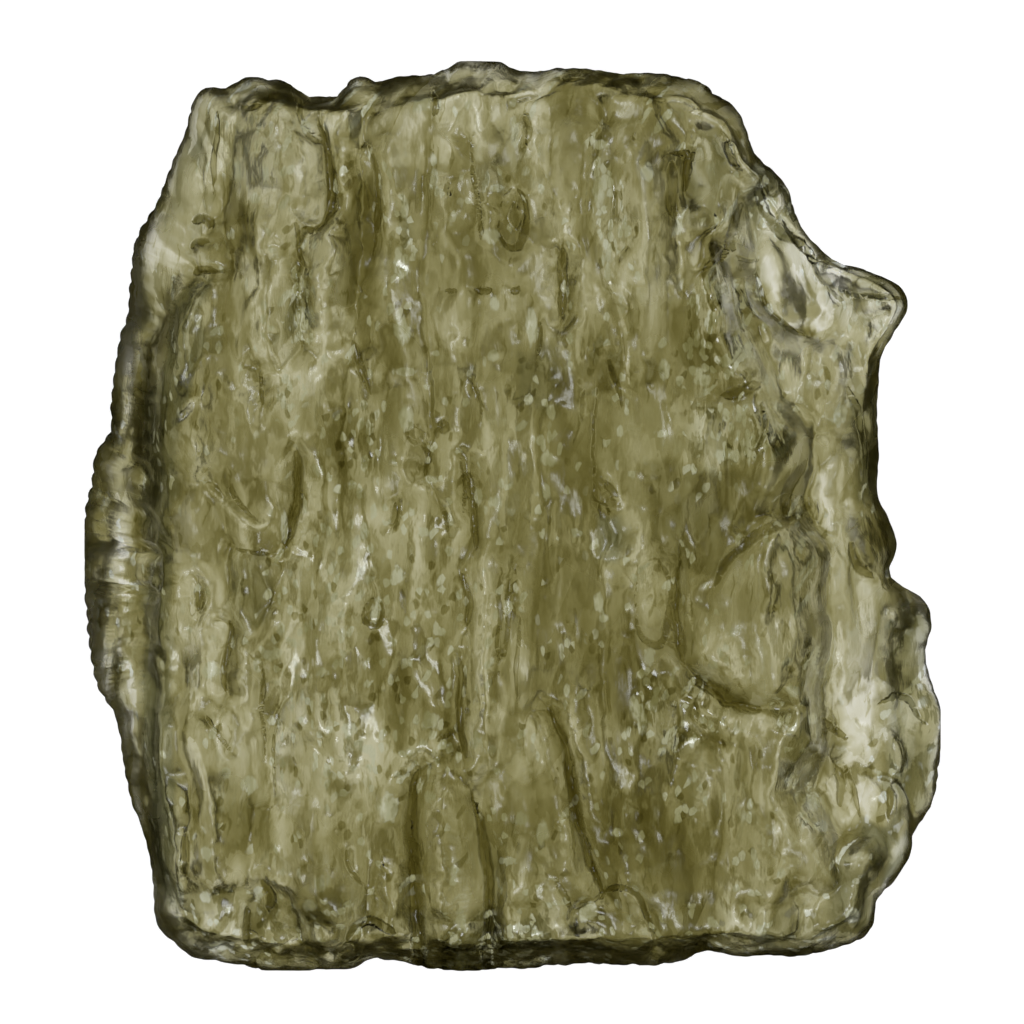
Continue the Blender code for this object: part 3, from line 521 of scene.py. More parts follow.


# How deep the colour stands in the glass. A depth of 1 is the stone's mean colour. Besides the
# glass's own tone, the depth carries painted shade in hollows, on walls and along cuts, and
# painted light along crests.

colorDepth = {
    "base": 0.58,
    "hollow": 2.4,  # painted shade, for each millimetre that a point lies below its surroundings
    # painted shade over a wider reach, in the same way
    "wideHollowShade": 0.9,
    "streaks": 0.24,
    "patches": 0.20,
    # Painted shade: steep walls are drawn darker
    "wall": 0.15,
    "zoneShare": 1.4,  # how strongly the changes listed under zones are taken
    "wallMottle": 0.8,
    # Parts of the stone: the outline of each, the change of depth, how cool, how mottled and how
    # glittering it is, and the blur of its edge. The change of depth is partly the glass's own tone
    # and partly painted shade and light, darker at edges, walls and grooves; how cool is a painted
    # grey sheen; where it glitters, painted glints are drawn into the colour.
    "zones": [
        # The band down the left side: its dark upper part, its middle, its smooth grey lower part
        ([(-7.95, 6.0), (-7.60, 5.7), (-7.80, 4.0), (-8.30, 2.2), (-8.45, 0.0), (-8.45, -1.6), (-9.10, -1.6),
          (-9.25, 0.6), (-9.00, 3.2), (-8.60, 4.5)], 0.55, 0.6, 0.2, 0.1, 0.12),
        ([(-8.45, -1.4), (-8.50, -5.0), (-8.30, -7.0), (-9.10, -7.0), (-9.30, -4.0), (-9.20, -1.4)],
         0.30, 0.7, 0.4, 0.1, 0.15),
        ([(-8.30, -6.8), (-8.40, -10.2), (-8.80, -10.2), (-9.00, -8.5), (-9.20, -6.8)],
         0.30, 0.9, 0.0, 0.0, 0.15),
        # The streaked facet above it, with its top darker and in painted grey sheen
        ([(-8.10, 9.9), (-7.45, 8.0), (-7.90, 6.5), (-8.60, 6.9), (-9.00, 7.5), (-8.35, 9.1)],
         -0.05, 0.35, 0.3, 0.0, 0.15),
        ([(-7.95, 9.7), (-7.45, 9.6), (-7.45, 8.6), (-8.00, 8.9), (-8.20, 9.2)], 0.25, 0.7, 0.2, 0.0, 0.3),
        # The brown facet below that
        ([(-9.15, 7.1), (-8.50, 6.7), (-8.30, 5.9), (-8.40, 5.0), (-9.40, 4.6), (-9.45, 6.5)],
         0.20, 0.2, 0.1, 0.0, 0.2),
        # The tongue at the upper left and the strip that it runs out in
        ([(-7.25, 10.1), (-5.30, 10.2), (-4.80, 9.6), (-4.55, 8.2), (-4.70, 7.3), (-5.30, 7.2), (-6.90, 8.0),
          (-7.30, 8.6)], -0.36, 0.1, 0.1, 0.1, 0.2),
        ([(-6.75, 8.2), (-5.40, 7.4), (-5.65, 6.4), (-5.65, 3.7), (-6.50, 3.9), (-6.65, 6.2)],
         -0.40, 0.1, 0.1, 0.1, 0.2),
        ([(-5.55, 6.3), (-5.05, 6.1), (-5.00, 4.4), (-5.60, 4.4), (-5.70, 5.2)], 0.15, 0.3, 0.6, 1.0, 0.15),
        ([(-6.05, 3.6), (-5.20, 3.7), (-5.00, 3.0), (-5.20, 2.4), (-5.80, 2.5)], -0.40, 0.2, 0.2, 0.9, 0.2),
        # The groove beside it
        ([(-4.10, 9.3), (-3.50, 9.2), (-3.38, 7.0), (-3.35, 4.4), (-3.90, 3.8), (-4.20, 6.0)],
         0.42, 0.0, 0.0, 0.0, 0.25),
        ([(-4.90, 5.1), (-4.10, 5.0), (-4.10, 2.2), (-4.70, 2.0)], -0.10, 0.0, 0.0, 0.0, 0.25),
        ([(-5.00, 7.0), (-4.20, 7.1), (-4.30, 6.1), (-4.90, 6.0)], -0.25, 0.1, 0.0, 0.0, 0.2),
        # The speckled strips of the upper middle
        ([(-3.00, 8.1), (-2.60, 8.1), (-2.60, 6.2), (-2.95, 6.2)], 0.05, 0.3, 0.6, 1.0, 0.15),
        ([(1.85, 9.6), (2.60, 9.4), (2.90, 6.9), (2.40, 5.6), (2.10, 7.0)], -0.05, 0.2, 0.2, 0.9, 0.3),
        # The terrace down the right side, the lobe, the scoop and the spur
        ([(5.90, 4.6), (7.60, 5.2), (9.00, 4.4), (8.70, 2.0), (8.50, 0.4), (8.90, -0.7), (8.60, -1.3),
          (9.00, -2.0), (9.00, -5.0), (9.30, -6.4), (8.80, -7.9), (8.10, -8.1), (8.00, -6.2), (7.40, -5.4),
          (7.90, -5.0), (7.80, -3.0), (7.30, -1.2), (7.20, 0.2), (7.30, 1.5), (7.00, 2.9), (6.10, 3.3)],
         -0.32, 0.0, 0.1, 0.0, 0.2),
        ([(4.60, -3.4), (5.10, -2.0), (5.80, -1.0), (6.80, -0.8), (7.30, -1.4), (7.25, -3.6), (6.60, -4.4),
          (5.60, -4.2)], -0.30, 0.0, 0.15, 0.1, 0.2),
        ([(5.55, 7.6), (6.10, 7.3), (7.10, 7.0), (8.30, 5.6), (8.00, 4.9), (7.20, 4.8), (6.30, 5.5),
          (5.60, 6.6)], -0.30, 0.45, 0.0, 0.0, 0.2),
        ([(7.50, 6.8), (8.30, 6.4), (9.30, 6.0), (9.85, 5.4), (9.50, 4.4), (8.40, 5.0)],
         -0.10, 0.45, 0.2, 0.0, 0.2),
        # The rim at the right: its grey wall, its dark corner and the grey facet under that
        ([(9.10, -1.8), (10.4, -2.4), (10.8, -5.0), (10.3, -7.4), (9.50, -7.2), (9.30, -5.0)],
         0.10, 0.7, 0.6, 0.1, 0.3),
        ([(8.70, -7.6), (9.90, -7.5), (9.70, -8.2), (9.20, -8.6), (8.60, -8.6)], 0.65, 0.5, 0.2, 0.0, 0.2),
        ([(9.30, -8.6), (10.0, -8.1), (9.90, -8.8), (9.20, -9.5)], -0.15, 0.9, 0.0, 0.0, 0.2),
        ([(8.10, -8.3), (9.10, -8.4), (9.00, -10.3), (8.00, -10.4), (7.90, -9.5)], 0.45, 0.4, 0.4, 0.2, 0.3),
        ([(8.35, 3.4), (9.20, 3.2), (9.20, 0.2), (8.60, 0.6)], 0.30, 0.5, 0.2, 0.0, 0.25),
        # The mottled corner at the upper right, and the grey facet left of it
        ([(5.90, 8.9), (6.60, 8.6), (7.30, 6.9), (6.20, 7.0), (5.90, 7.8)], 0.15, 0.6, 0.9, 0.3, 0.2),
        ([(4.60, 9.6), (5.60, 9.4), (5.40, 7.3), (4.20, 7.2), (4.40, 8.4)], 0.00, 0.45, 0.0, 0.0, 0.25),
        ([(4.50, 7.15), (5.25, 7.2), (5.20, 6.4), (4.80, 5.9), (4.70, 6.6)], 0.45, 0.0, 0.0, 0.0, 0.15),
        # The dark wedge left of the terrace, and the dark column of the middle
        ([(3.30, 1.4), (4.20, 1.2), (5.80, 1.0), (7.20, 1.4), (6.75, 0.1), (7.20, -0.1), (5.90, -0.5),
          (5.20, -1.2), (4.40, -1.4), (3.30, -0.9)], 0.32, 0.1, 0.0, 0.0, 0.25),
        ([(0.40, -0.8), (3.00, -0.8), (3.00, -5.0), (1.40, -4.9), (0.30, -4.4)], 0.26, 0.0, 0.0, 0.0, 0.4),
        ([(1.30, -5.0), (4.00, -5.2), (7.00, -5.8), (6.80, -8.0), (2.20, -8.8)], 0.10, 0.0, 0.1, 0.15, 0.6),
        ([(0.20, 4.3), (1.15, 4.2), (1.15, 2.4), (0.20, 2.6)], 0.20, 0.3, 0.0, 0.0, 0.25),
        ([(1.20, 4.3), (2.30, 4.0), (2.10, 2.2), (1.30, 2.8)], -0.22, 0.0, 0.0, 0.0, 0.25),
        ([(2.05, 0.3), (2.85, 0.3), (2.80, -0.9), (2.10, -0.9)], 0.10, 0.8, 0.0, 0.0, 0.2),
        ([(-0.30, 3.6), (3.20, 5.0), (3.20, -0.8), (-0.60, -0.8)], 0.12, 0.0, 0.0, 0.1, 0.8),
        # The glitter left of the terrace and under the lobe
        ([(4.40, 5.8), (6.10, 5.9), (6.20, 3.4), (4.20, 3.2)], -0.12, 0.2, 0.3, 0.9, 0.3),
        ([(4.50, 2.9), (7.10, 2.9), (6.80, 1.6), (5.40, 1.2), (4.50, 1.3)], -0.05, 0.4, 0.4, 1.0, 0.3),
        ([(3.00, -3.6), (4.60, -3.9), (5.20, -5.2), (4.20, -5.9), (3.00, -5.4)], 0.00, 0.2, 0.4, 0.8, 0.4),
        # Painted shadow under the lobe
        ([(4.50, -5.2), (5.50, -5.3), (5.40, -5.9), (4.60, -5.9)], 0.40, 0.0, 0.0, 0.0, 0.2),
        ([(7.20, -3.2), (7.80, -3.3), (7.90, -5.0), (7.60, -7.8), (7.20, -7.8), (6.60, -5.4), (6.50, -4.8),
          (7.20, -4.6)], 0.10, 0.4, 0.5, 0.9, 0.2),
        # The left half
        ([(-8.35, 1.6), (-7.20, 1.3), (-7.00, -1.0), (-7.15, -2.6), (-7.50, -4.8), (-8.35, -4.6)],
         -0.14, 0.0, 0.05, 0.0, 0.2),
        ([(-7.55, -0.8), (-7.05, -0.8), (-7.10, -2.7), (-7.50, -2.6)], -0.14, 0.0, 0.0, 0.0, 0.15),
        ([(-7.00, -1.0), (-6.10, -1.1), (-6.00, -2.8), (-6.80, -3.1)], 0.28, 0.3, 0.1, 0.1, 0.2),
        ([(-7.50, -7.1), (-5.90, -7.2), (-5.90, -8.7), (-7.60, -8.8)], 0.26, 0.0, 0.2, 0.1, 0.3),
        ([(-6.00, 0.4), (-1.30, 0.4), (-1.20, -6.6), (-6.00, -6.9)], -0.10, 0.0, 0.1, 0.45, 0.8),
        ([(-1.02, -1.0), (-0.40, -1.0), (-0.35, -4.6), (0.70, -5.2), (0.90, -6.4), (-0.40, -6.4),
          (-1.05, -5.0)], -0.26, 0.0, 0.1, 0.2, 0.15),
        ([(-4.70, 2.6), (-3.30, 2.6), (-3.30, 0.6), (-5.00, 0.6)], 0.05, 0.1, 0.3, 0.6, 0.4),
        ([(-2.05, -7.0), (-1.20, -7.2), (-1.10, -10.2), (-2.00, -10.2)], -0.10, 0.0, 0.1, 0.1, 0.2),
        ([(-4.40, -6.8), (-2.80, -6.6), (-2.80, -10.0), (-4.00, -10.0)], -0.08, 0.0, 0.2, 0.2, 0.3),
        # The lower edge
        ([(-8.30, -8.9), (-2.90, -9.9), (2.80, -9.9), (8.00, -9.6), (8.00, -12.0), (-8.30, -12.0)],
         0.22, 0.2, 0.5, 0.3, 0.5),
        ([(-1.20, -10.0), (1.00, -10.0), (0.90, -11.4), (-1.90, -11.4)], 0.25, 0.4, 0.8, 0.8, 0.3),
        ([(6.00, -10.0), (8.80, -10.1), (8.00, -11.2), (6.00, -11.2)], 0.35, 0.3, 0.4, 0.3, 0.3),
    ],
    # Spots: the middle, the half width and half height, the change of depth, partly the glass's own tone and
    # partly painted shade and light
    "spots": [
        (3.98, 7.60, 0.30, 0.35, 0.6), (-8.75, 5.40, 0.25, 0.5, -0.45), (-9.90, 3.95, 0.35, 0.3, -0.6),
        (-9.60, 2.90, 0.20, 0.6, -0.4), (-10.2, -2.2, 0.25, 0.7, 0.5), (-9.95, -3.8, 0.20, 0.5, 0.6),
        (-9.70, -5.2, 0.30, 0.4, -0.5), (9.90, -2.7, 0.45, 0.5, 0.5), (10.2, -6.4, 0.35, 0.9, 0.3),
        (7.75, -9.5, 0.35, 0.3, -0.4), (7.15, -9.2, 0.25, 0.3, 0.5), (-6.90, -9.3, 0.25, 0.4, -0.4),
        (-6.90, -10.2, 0.2, 0.35, -0.4), (-7.45, -10.2, 0.25, 0.4, -0.25), (-5.80, -10.4, 0.3, 0.5, -0.35),
        (-3.50, -10.6, 0.35, 0.25, -0.7), (-4.80, -9.0, 0.50, 0.6, -0.2), (2.80, -10.2, 0.25, 0.5, -0.4),
        (-2.60, 10.0, 0.50, 0.45, -0.25), (-1.55, 9.6, 0.30, 0.35, -0.3), (-1.05, 10.6, 0.35, 0.15, -0.6),
        (-0.30, 9.7, 0.30, 0.6, 0.05), (0.55, 9.6, 0.15, 0.5, -0.25), (-1.25, 8.7, 0.30, 1.2, 0.3),
        (1.30, 11.0, 0.80, 0.15, -0.6), (-6.10, 10.6, 0.60, 0.2, 0.7), (-3.65, 10.0, 0.25, 0.3, 0.8),
        (-3.10, 10.2, 0.15, 0.3, -0.3), (-4.90, 10.2, 0.35, 0.2, -0.3), (-4.60, 9.7, 0.20, 0.25, -0.4),
        (5.10, 2.9, 0.30, 0.3, 0.3), (5.80, 3.1, 0.35, 0.2, 0.3), (6.50, 7.6, 0.25, 0.5, -0.7),
        (-5.95, -1.5, 0.35, 0.4, -0.1), (-5.0, -1.4, 0.45, 0.5, -0.25), (-3.45, 0.2, 0.30, 0.5, -0.25),
        (3.45, -1.9, 0.35, 0.6, -0.25), (8.30, 8.0, 0.10, 0.1, 0.0),
    ],
}

# Painted glints and bright facets, drawn whitish into the glass colour: the middle, the half width and half
# height
paintedGlintSpots = [
    (-5.15, 9.72, 0.14, 0.18), (-6.85, 8.60, 0.10, 0.28), (-6.15, 8.55, 0.09, 0.2), (-6.40, 7.90, 0.12, 0.14),
    (-5.60, 7.90, 0.09, 0.12), (-2.25, 10.3, 0.24, 0.22), (-1.98, 8.90, 0.09, 0.2), (-1.95, 8.45, 0.12, 0.18),
    (0.06, 9.60, 0.13, 0.36), (-0.64, 8.40, 0.07, 0.2), (-0.40, 8.18, 0.20, 0.09), (-0.55, 6.95, 0.20, 0.18),
    (-0.08, 7.15, 0.08, 0.14), (2.15, 8.20, 0.14, 0.4), (2.20, 9.25, 0.22, 0.12), (2.80, 7.30, 0.06, 0.2),
    (2.36, 6.10, 0.07, 0.25), (3.40, 8.60, 0.18, 0.2), (0.48, 4.70, 0.16, 0.4), (-0.45, 5.30, 0.14, 0.2),
    (-2.75, 4.60, 0.18, 0.35), (-2.15, 3.25, 0.12, 0.1), (-1.90, 4.05, 0.14, 0.08), (-0.45, 4.0, 0.18, 0.14),
    (-1.17, 2.85, 0.10, 0.12), (0.40, 2.90, 0.12, 0.12), (0.95, 2.60, 0.11, 0.22), (0.70, 1.90, 0.12, 0.12),
    (0.88, 1.40, 0.18, 0.16), (0.85, 0.62, 0.09, 0.2), (-0.85, 0.50, 0.10, 0.2), (-0.38, 0.35, 0.12, 0.2),
    (0.72, -0.42, 0.07, 0.14), (1.12, -0.55, 0.06, 0.07), (-2.2, -0.40, 0.16, 0.12), (-3.70, -0.3, 0.12, 0.25),
    (-2.65, 2.40, 0.20, 0.3), (-2.70, 3.60, 0.28, 0.1), (-2.02, 0.90, 0.16, 0.12), (2.15, -2.10, 0.11, 0.25),
    (2.28, -2.55, 0.12, 0.12), (-2.85, -1.5, 0.16, 0.18), (-1.75, -2.9, 0.12, 0.10), (-3.45, -2.4, 0.12, 0.25),
    (-0.12, -2.2, 0.12, 0.09), (3.40, -3.50, 0.14, 0.2), (3.05, -4.80, 0.12, 0.3), (3.25, -5.2, 0.12, 0.3),
    (-2.05, -5.1, 0.25, 0.22), (-4.75, -3.9, 0.16, 0.12), (-7.5, -3.85, 0.25, 0.18), (-6.0, -3.45, 0.22, 0.15),
    (-3.65, -5.8, 0.25, 0.10), (-4.1, -5.3, 0.20, 0.15), (-6.55, -6.7, 0.2, 0.2), (-7.15, -6.4, 0.14, 0.14),
    (-5.95, -5.1, 0.18, 0.12), (-0.90, -5.6, 0.14, 0.25), (0.20, -7.55, 0.22, 0.18), (-3.1, -7.3, 0.25, 0.35),
    (-2.05, -7.0, 0.14, 0.16), (-0.10, -8.6, 0.22, 0.09), (0.75, -7.9, 0.12, 0.3), (2.60, -7.9, 0.14, 0.1),
    (1.80, -9.9, 0.16, 0.2), (1.95, -9.85, 0.14, 0.2), (-1.3, -10.1, 0.12, 0.3), (-1.45, -10.6, 0.12, 0.2),
    (-1.25, -11.1, 0.16, 0.2), (0.60, -10.4, 0.14, 0.16), (-2.2, -10.9, 0.09, 0.14), (-7.3, -10.75, 0.3, 0.12),
    (-6.35, -9.4, 0.12, 0.16), (-8.30, -9.4, 0.08, 0.3), (-7.65, -9.5, 0.12, 0.16), (-4.8, -9.2, 0.14, 0.16),
    (-5.05, -9.7, 0.16, 0.16), (-7.60, -8.4, 0.14, 0.18), (-5.70, -0.25, 0.09, 0.35), (-6.03, 0.08, 0.09, 0.1),
    (-6.95, 1.90, 0.06, 0.08), (7.15, 0.10, 0.08, 0.16), (7.20, -0.65, 0.09, 0.25), (8.20, 2.55, 0.16, 0.3),
    (5.35, 1.55, 0.3, 0.16), (5.90, 1.55, 0.06, 0.3), (4.75, 3.4, 0.2, 0.14), (3.8, 3.65, 0.14, 0.25),
    (3.75, 2.05, 0.18, 0.1), (5.20, 5.6, 0.2, 0.2), (5.90, 5.7, 0.12, 0.16), (6.40, -8.13, 0.09, 0.09),
    (6.02, -8.45, 0.09, 0.2), (6.70, -8.9, 0.12, 0.12), (6.20, -10.45, 0.12, 0.25), (8.50, -10.0, 0.2, 0.18),
    (7.50, -5.05, 0.14, 0.14), (7.0, -4.35, 0.16, 0.16), (7.55, -3.6, 0.14, 0.3), (7.40, -6.3, 0.1, 0.14),
    (7.35, -6.65, 0.1, 0.1), (7.5, -7.15, 0.2, 0.2), (7.75, -7.75, 0.14, 0.14), (6.70, -6.4, 0.09, 0.14),
    (4.95, -10.1, 0.1, 0.16), (-8.15, 3.4, 0.06, 0.2), (-5.2, 4.9, 0.25, 0.3), (-5.35, 5.6, 0.1, 0.2),
    (6.15, 8.65, 0.16, 0.14), (6.50, 7.85, 0.2, 0.16), (-2.85, 6.4, 0.12, 0.3), (-2.7, 7.7, 0.1, 0.3),
]


def insideShare(x, y, loop, blur):
    # 1 well inside the loop and 0 well outside it, with a slope blur wide between
    away, _ = alongPath(x, y, loop + loop[:1])
    inside = np.zeros(len(x), bool)
    for (ax, ay), (bx, by) in zip(loop, loop[1:] + loop[:1]):
        if ay != by:
            spans = (ay > y) != (by > y)
            inside ^= spans & (x < ax + (y - ay) * (bx - ax) / (by - ay))
    return smooth(0.5 + np.where(inside, away, -away) / blur)


def spotShare(x, y, cx, cy, halfX, halfY):
    return smooth(1.5 - np.hypot((x - cx) / halfX, (y - cy) / halfY))


def evenedOut(mesh, places, rounds):
    # The points after that many rounds of moving halfway to the middle of their neighbours
    edges = np.empty(len(mesh.edges) * 2, np.int32)
    mesh.edges.foreach_get("vertices", edges)
    a, b = edges.reshape(-1, 2).T
    count = len(places)
    degree = np.bincount(a, minlength=count) + np.bincount(b, minlength=count)
    for _ in range(rounds):
        sums = [
            np.bincount(a, places[b, k], count) + np.bincount(b, places[a, k], count)
            for k in range(3)
        ]
        places = 0.5 * places + 0.5 * np.column_stack(sums) / degree[:, None]
    return places


def colorGlass(stone):
    mesh = stone.data
    places = pointsOf(mesh)
    normals = normalsOf(mesh)
    x, y = places[:, 0] / mm, places[:, 1] / mm
    raggedX = x + 0.14 * relief(x, y, 0.6, 1.1, 5.3)
    raggedY = y + 0.30 * relief(x, y, 0.6, 1.1, 8.3)
    top = smooth((normals[:, 2] + 0.2) / 0.3)
    wall = smooth((0.75 - normals[:, 2]) / 0.6)

    # Painted shade: each point is drawn darker by how far it lies below its near and its wide surroundings
    near = evenedOut(mesh, places, 12)
    far = evenedOut(mesh, near, 60)
    hollow = ((near - places) * normals).sum(axis=1) / mm
    wideHollowShade = ((far - places) * normals).sum(axis=1) / mm

    depth = np.full(len(x), colorDepth["base"])
    depth += colorDepth["hollow"] * hollow + colorDepth["wideHollowShade"] * wideHollowShade
    depth += colorDepth["streaks"] * relief(x, y, 0.40, 4.0, 61.3)
    depth += colorDepth["patches"] * relief(x, y, 1.3, 2.4, 71.3)
    # Painted shade: steep walls are drawn darker
    depth += colorDepth["wall"] * wall * top
    # Painted grey sheen, taken from the zones
    paintedSheen = np.zeros(len(x))
    mottle = colorDepth["wallMottle"] * wall
    # Glitter lowers the roughness, raises the coat and sets where painted glints are drawn into the colour
    glitter = 0.22 * smooth(0.4 + 1.6 * relief(x, y, 0.8, 1.4, 81.3))
    for loop, change, sheenShare, mottled, glittering, blur in colorDepth["zones"]:
        share = insideShare(raggedX, raggedY, loop, blur) * top
        depth += colorDepth["zoneShare"] * change * share
        paintedSheen = np.maximum(paintedSheen, sheenShare * share)
        mottle = np.maximum(mottle, mottled * share)
        glitter = np.maximum(glitter, glittering * share)
    for cx, cy, halfX, halfY, change in colorDepth["spots"]:
        depth += change * spotShare(raggedX, raggedY, cx, cy, halfX, halfY) * top
    # Painted glints at the listed spots
    glintPaint = np.zeros(len(x))
    for cx, cy, halfX, halfY in paintedGlintSpots:
        glintPaint = np.maximum(glintPaint, 1.0 - 0.5 * np.hypot((x - cx) / halfX, (y - cy) / halfY))
    setAttribute(mesh, "colorDepth", np.clip(depth, 0.0, 2.2))
    setAttribute(mesh, "sheenShare", paintedSheen)
    setAttribute(mesh, "mottle", mottle)
    setAttribute(mesh, "glitter", glitter)
    setAttribute(mesh, "glintPaint", glintPaint * top)


# The glass

glassValues = {
    "ior": 1.49,
    "meanColor": (0.209, 0.188, 0.064),  # what is left of white light at a colour depth of 1
    "sheenColor": (0.195, 0.205, 0.135),  # the same where the glass looks grey, a painted grey sheen
    # Painted glints: the colour that the bright flecks and the listed glint spots are drawn in
    "paintedGlintColor": (0.84, 0.92, 0.95, 1.0),
    "thickness": 18.0,  # millimetres of plain glass for a colour depth of 1
    "dullRoughness": 0.28,
    "glitterRoughness": 0.14,
    "coatRoughness": 0.06,
    "grainWidth": 0.24,  # sizes from here on in millimetres
    "grainLength": 0.62,
    "patchWidth": 0.48,
    "patchLength": 1.10,
    "fleckWidth": 0.17,
    "fleckLength": 0.25,
    "grainDepth": 0.40,  # shares in the colour depth from here on
    "patchDepth": 0.32,
    "mottleDepth": 1.1,
    # Painted shade: the dark crease drawn in some patches
    "creaseShadeDepth": 0.55,
    "fleckDepth": 0.7,
    "grainBump": 0.020,  # heights in millimetres from here on
    "cutBump": 0.060,
}


def moldaviteGlass():
    material = bpy.data.materials.new("moldaviteGlass")
    material.use_nodes = True
    material.node_tree.nodes.clear()
    graph = Graph(material.node_tree)
    place = graph.add("ShaderNodeTexCoord", {}, {}, "Object")

    def kept(name):
        return graph.add("ShaderNodeAttribute", {"attribute_name": name}, {}, "Fac")

    def sized(name):
        return glassValues[name] * mm

    depth, sheenShare, mottle = kept("colorDepth"), kept("sheenShare"), kept("mottle")
    glitter, glintPaint = kept("glitter"), kept("glintPaint")
    across, along = 1.0 / sized("grainWidth"), 1.0 / sized("grainLength")
    grain = graph.noise(graph.scaled(place, (across, along, across)), 2.0, 0.65) - 0.5
    x = graph.add("ShaderNodeSeparateXYZ", {}, {0: place}, "X")
    y, z = x.out("Y"), x.out("Z")

    def cellsOn(width, length, bend):
        # Flat cells of that size on the slanting plane that no wall of the stone stands square to
        sockets = {"X": (x + z * 0.45) / sized(width) + grain * bend,
                   "Y": (y + z * 0.60) / sized(length) + grain * bend}
        spot = graph.add("ShaderNodeCombineXYZ", {}, sockets)
        flat = {"voronoi_dimensions": "2D"}
        return spot, graph.add("ShaderNodeTexVoronoi", flat, {"Vector": spot, "Scale": 1.0}, "Distance")

    # Patches, each with its own tone, and in some of them a dark crease of painted shade
    spot, patch = cellsOn("patchWidth", "patchLength", 0.8)
    chance = graph.add("ShaderNodeSeparateXYZ", {}, {0: patch.out("Color")}, "X")
    local = graph.add(
        "ShaderNodeVectorMath", {"operation": "SUBTRACT"}, {0: spot, 1: patch.out("Position")}
    )
    side = graph.add("ShaderNodeSeparateXYZ", {}, {0: local}, "X")
    up = side.out("Y") * side.out("Y")
    outer = 0.28 - up * 2.0 - side
    inner = side - 0.05 + up * 0.4
    creaseShade = graph.ramp(outer, 0.0, 0.08) * graph.ramp(inner, 0.0, 0.14)
    creaseShade = creaseShade * graph.ramp(chance.out("Y"), 0.60, 0.66)
    tone = (chance - 0.5) * (glassValues["patchDepth"] + mottle * glassValues["mottleDepth"])

    # Painted shade along the cuts and bubble rims, painted light along the crests
    cut = graph.ramp(kept("cut") + grain * 0.7, -0.10, 0.40)
    crest = graph.ramp(kept("crest") + grain * 0.7, -0.10, 0.50)
    depth = depth + tone + grain * glassValues["grainDepth"] + creaseShade * glassValues["creaseShadeDepth"]
    depth = depth + cut * kept("cutShade") - crest * kept("crestHighlight")

    # Flecks, thick where the skin glitters: the bright ones are painted glints, the dark ones darken the
    # colour
    _, fleck = cellsOn("fleckWidth", "fleckLength", 0.9)
    luck = graph.add("ShaderNodeSeparateXYZ", {}, {0: fleck.out("Color")}, "X")
    round = graph.ramp(fleck, 0.62, 0.40)
    paintedGlint = round * graph.ramp(luck + glitter * 0.42, 0.97, 1.02)
    paintedGlint = paintedGlint * 0.9
    darkFleck = round * graph.ramp(luck.out("Y") + glitter * 0.25, 0.98, 1.03)
    depth = depth + darkFleck * glassValues["fleckDepth"]
    # Painted glints at the listed bright spots
    facet = graph.ramp(glintPaint + grain * 0.9, 0.40, 0.62)
    paintedGlint = graph.add("ShaderNodeMath", {"operation": "MAXIMUM"}, {0: paintedGlint, 1: facet * 0.9})
    depth = graph.add("ShaderNodeMath", {"operation": "MAXIMUM"}, {0: depth, 1: 0.0})

    def tintOf(color):
        return graph.add(
            "ShaderNodeVectorMath", {"operation": "POWER"}, {0: glassValues[color], 1: depth}
        )

    # The painted grey sheen mixed into the glass's own tint
    tint = graph.mix(sheenShare, tintOf("meanColor"), tintOf("sheenColor"))
    # The painted glints mixed into the tint
    tint = graph.mix(paintedGlint, tint, glassValues["paintedGlintColor"])
    height = grain * glassValues["grainBump"] - cut * glassValues["cutBump"]
    bump = graph.add("ShaderNodeBump", {}, {"Strength": 1.0, "Distance": 1.0, "Height": height * mm})
    rough = glassValues["dullRoughness"]
    glass = graph.add(
        "ShaderNodeBsdfPrincipled", {},
        {
            "Base Color": tint,
            "Roughness": rough - glitter * (rough - glassValues["glitterRoughness"]),
            "IOR": glassValues["ior"],
            "Transmission Weight": 1.0,
            "Coat Weight": glitter,
            "Coat Roughness": glassValues["coatRoughness"],
            "Normal": bump,
        },
    )
    absorbed = [-math.log(part) / glassValues["thickness"] for part in glassValues["meanColor"]]
    densest = max(absorbed)
    color = [1.0 - part / densest for part in absorbed] + [1.0]
    absorption = graph.add(
        "ShaderNodeVolumeAbsorption", {}, {"Color": color, "Density": densest / mm}
    )
    graph.add("ShaderNodeOutputMaterial", {}, {"Surface": glass, "Volume": absorption})
    return material


# The floor, the light and the camera

studio = {
    "floorSize": 6.0,
    "floorColor": (0.5, 0.5, 0.5, 1.0),
    "floorGlow": 0.95,
    "floorDrop": 0.02 * mm,
    "skyColor": (0.03, 0.03, 0.03, 1.0),
    "horizonColor": (0.72, 0.75, 0.78, 1.0),
    "lampColor": (0.92, 0.96, 1.0),
    "lampRadiance": 8.0,
    "lampSize": 0.13,
    "lampDistance": 0.5,
    "lamps": [(25, 40), (115, 36), (205, 40), (295, 36)],  # turn and height in degrees
    "cameraDistance": 0.7,
    "cameraAim": (-0.0125 * mm, 0.10 * mm, 5.0 * mm),
    "frameWidth": 25.6 * mm,  # what the picture takes in at the aim's height
}


def makeFloor():
    half = studio["floorSize"] / 2
    mesh = bpy.data.meshes.new("floor")
    level = -studio["floorDrop"]
    corners = [(-half, -half, level), (half, -half, level), (half, half, level), (-half, half, level)]
    mesh.from_pydata(corners, [], [(0, 1, 2, 3)])
    floor = bpy.data.objects.new("floor", mesh)
    bpy.context.scene.collection.objects.link(floor)
    floor.visible_glossy = False
    material = bpy.data.materials.new("paleFloor")
    material.use_nodes = True
    shader = material.node_tree.nodes["Principled BSDF"]
    shader.inputs["Base Color"].default_value = studio["floorColor"]
    shader.inputs["Roughness"].default_value = 0.9
    shader.inputs["Specular IOR Level"].default_value = 0.0
    shader.inputs["Emission Color"].default_value = (1.0, 1.0, 1.0, 1.0)
    shader.inputs["Emission Strength"].default_value = studio["floorGlow"]
    material.cycles.emission_sampling = "NONE"
    mesh.materials.append(material)
    return floor


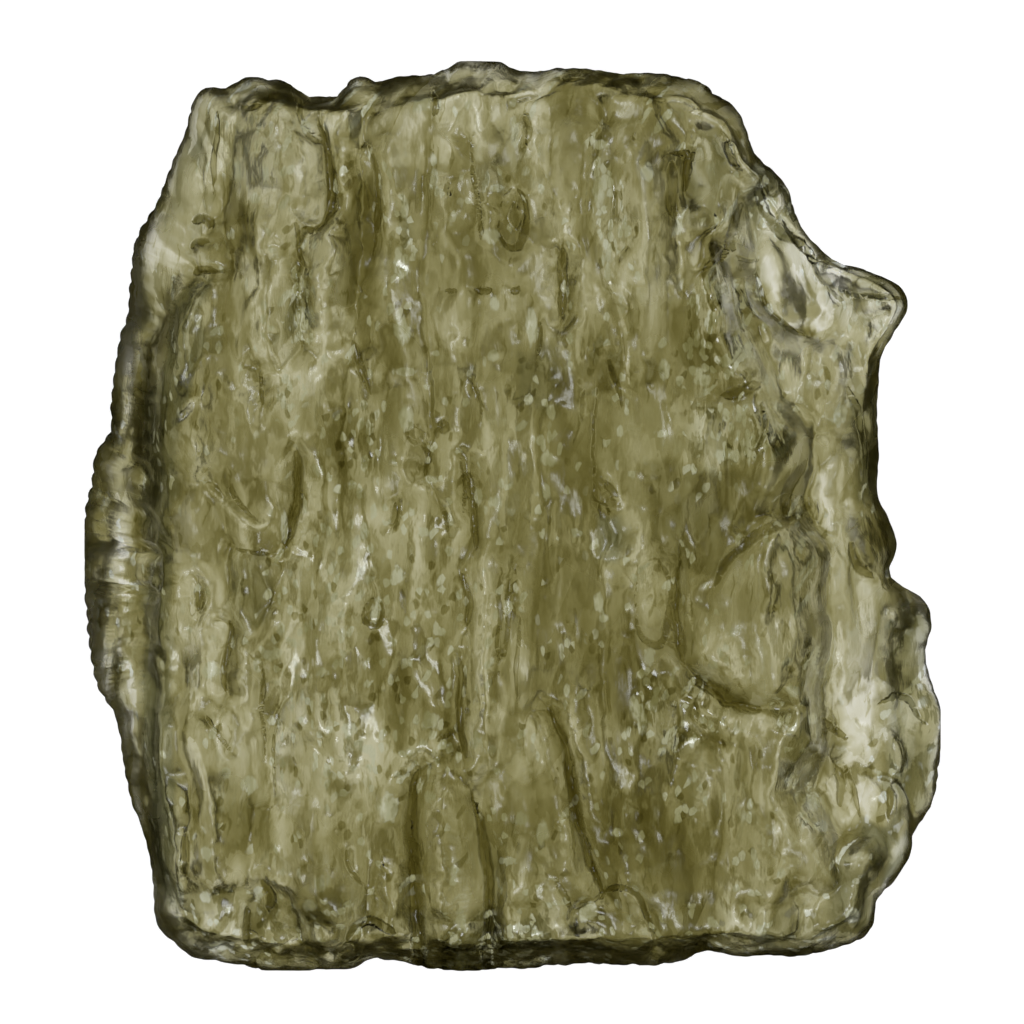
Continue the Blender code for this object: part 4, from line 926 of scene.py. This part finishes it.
def makeWorld():
    world = bpy.data.worlds.new("studio")
    world.use_nodes = True
    graph = Graph(world.node_tree)
    toward = graph.add("ShaderNodeTexCoord", {}, {}, "Generated")
    height = graph.add("ShaderNodeSeparateXYZ", {}, {0: toward}, "Z")
    color = graph.mix(graph.ramp(height, 0.10, 0.30), studio["horizonColor"], studio["skyColor"])
    background = world.node_tree.nodes["Background"]
    world.node_tree.links.new(color.socket, background.inputs["Color"])
    world.cycles.sampling_method = "NONE"
    world.cycles_visibility.glossy = False
    world.cycles_visibility.diffuse = False
    bpy.context.scene.world = world


def makeLamps():
    size = studio["lampSize"]
    for number, (turn, height) in enumerate(studio["lamps"]):
        lamp = bpy.data.lights.new(f"softbox{number}", "AREA")
        lamp.shape = "DISK"
        lamp.size = size
        lamp.color = studio["lampColor"]
        lamp.energy = studio["lampRadiance"] * math.pi * math.pi * size * size / 4
        lamp.cycles.max_bounces = 1
        holder = bpy.data.objects.new(lamp.name, lamp)
        bpy.context.scene.collection.objects.link(holder)
        turn, height = math.radians(turn), math.radians(height)
        away = Vector((math.cos(turn) * math.cos(height), math.sin(turn) * math.cos(height),
                       math.sin(height)))
        holder.location = away * studio["lampDistance"]
        holder.rotation_euler = away.to_track_quat("Z", "Y").to_euler()
        holder.visible_camera = False


def makeCamera():
    lens = bpy.data.cameras.new("camera")
    camera = bpy.data.objects.new("camera", lens)
    bpy.context.scene.collection.objects.link(camera)
    distance = studio["cameraDistance"]
    lens.lens = lens.sensor_width * distance / studio["frameWidth"]
    lens.clip_start = 0.01
    lens.clip_end = 100.0
    camera.location = Vector(studio["cameraAim"]) + Vector((0.0, 0.0, distance))
    bpy.context.scene.camera = camera


stone = mergedCopy(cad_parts["moldavite"])
print("joined the packed stone:", len(stone.data.vertices), "points")
fitCage(stone)
growSkin(stone, moldaviteGlass())
print("grew the etched skin:", len(stone.data.polygons), "faces")
carveMarks(stone)
colorGlass(stone)
stone.data.shade_smooth()
print("carved the marks and coloured the glass")

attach(stone, "root")
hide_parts("moldavite")

makeFloor()
makeWorld()
makeLamps()
makeCamera()
bpy.context.scene.view_settings.view_transform = "Standard"
bpy.context.scene.cycles.use_light_tree = False
print("set the studio")
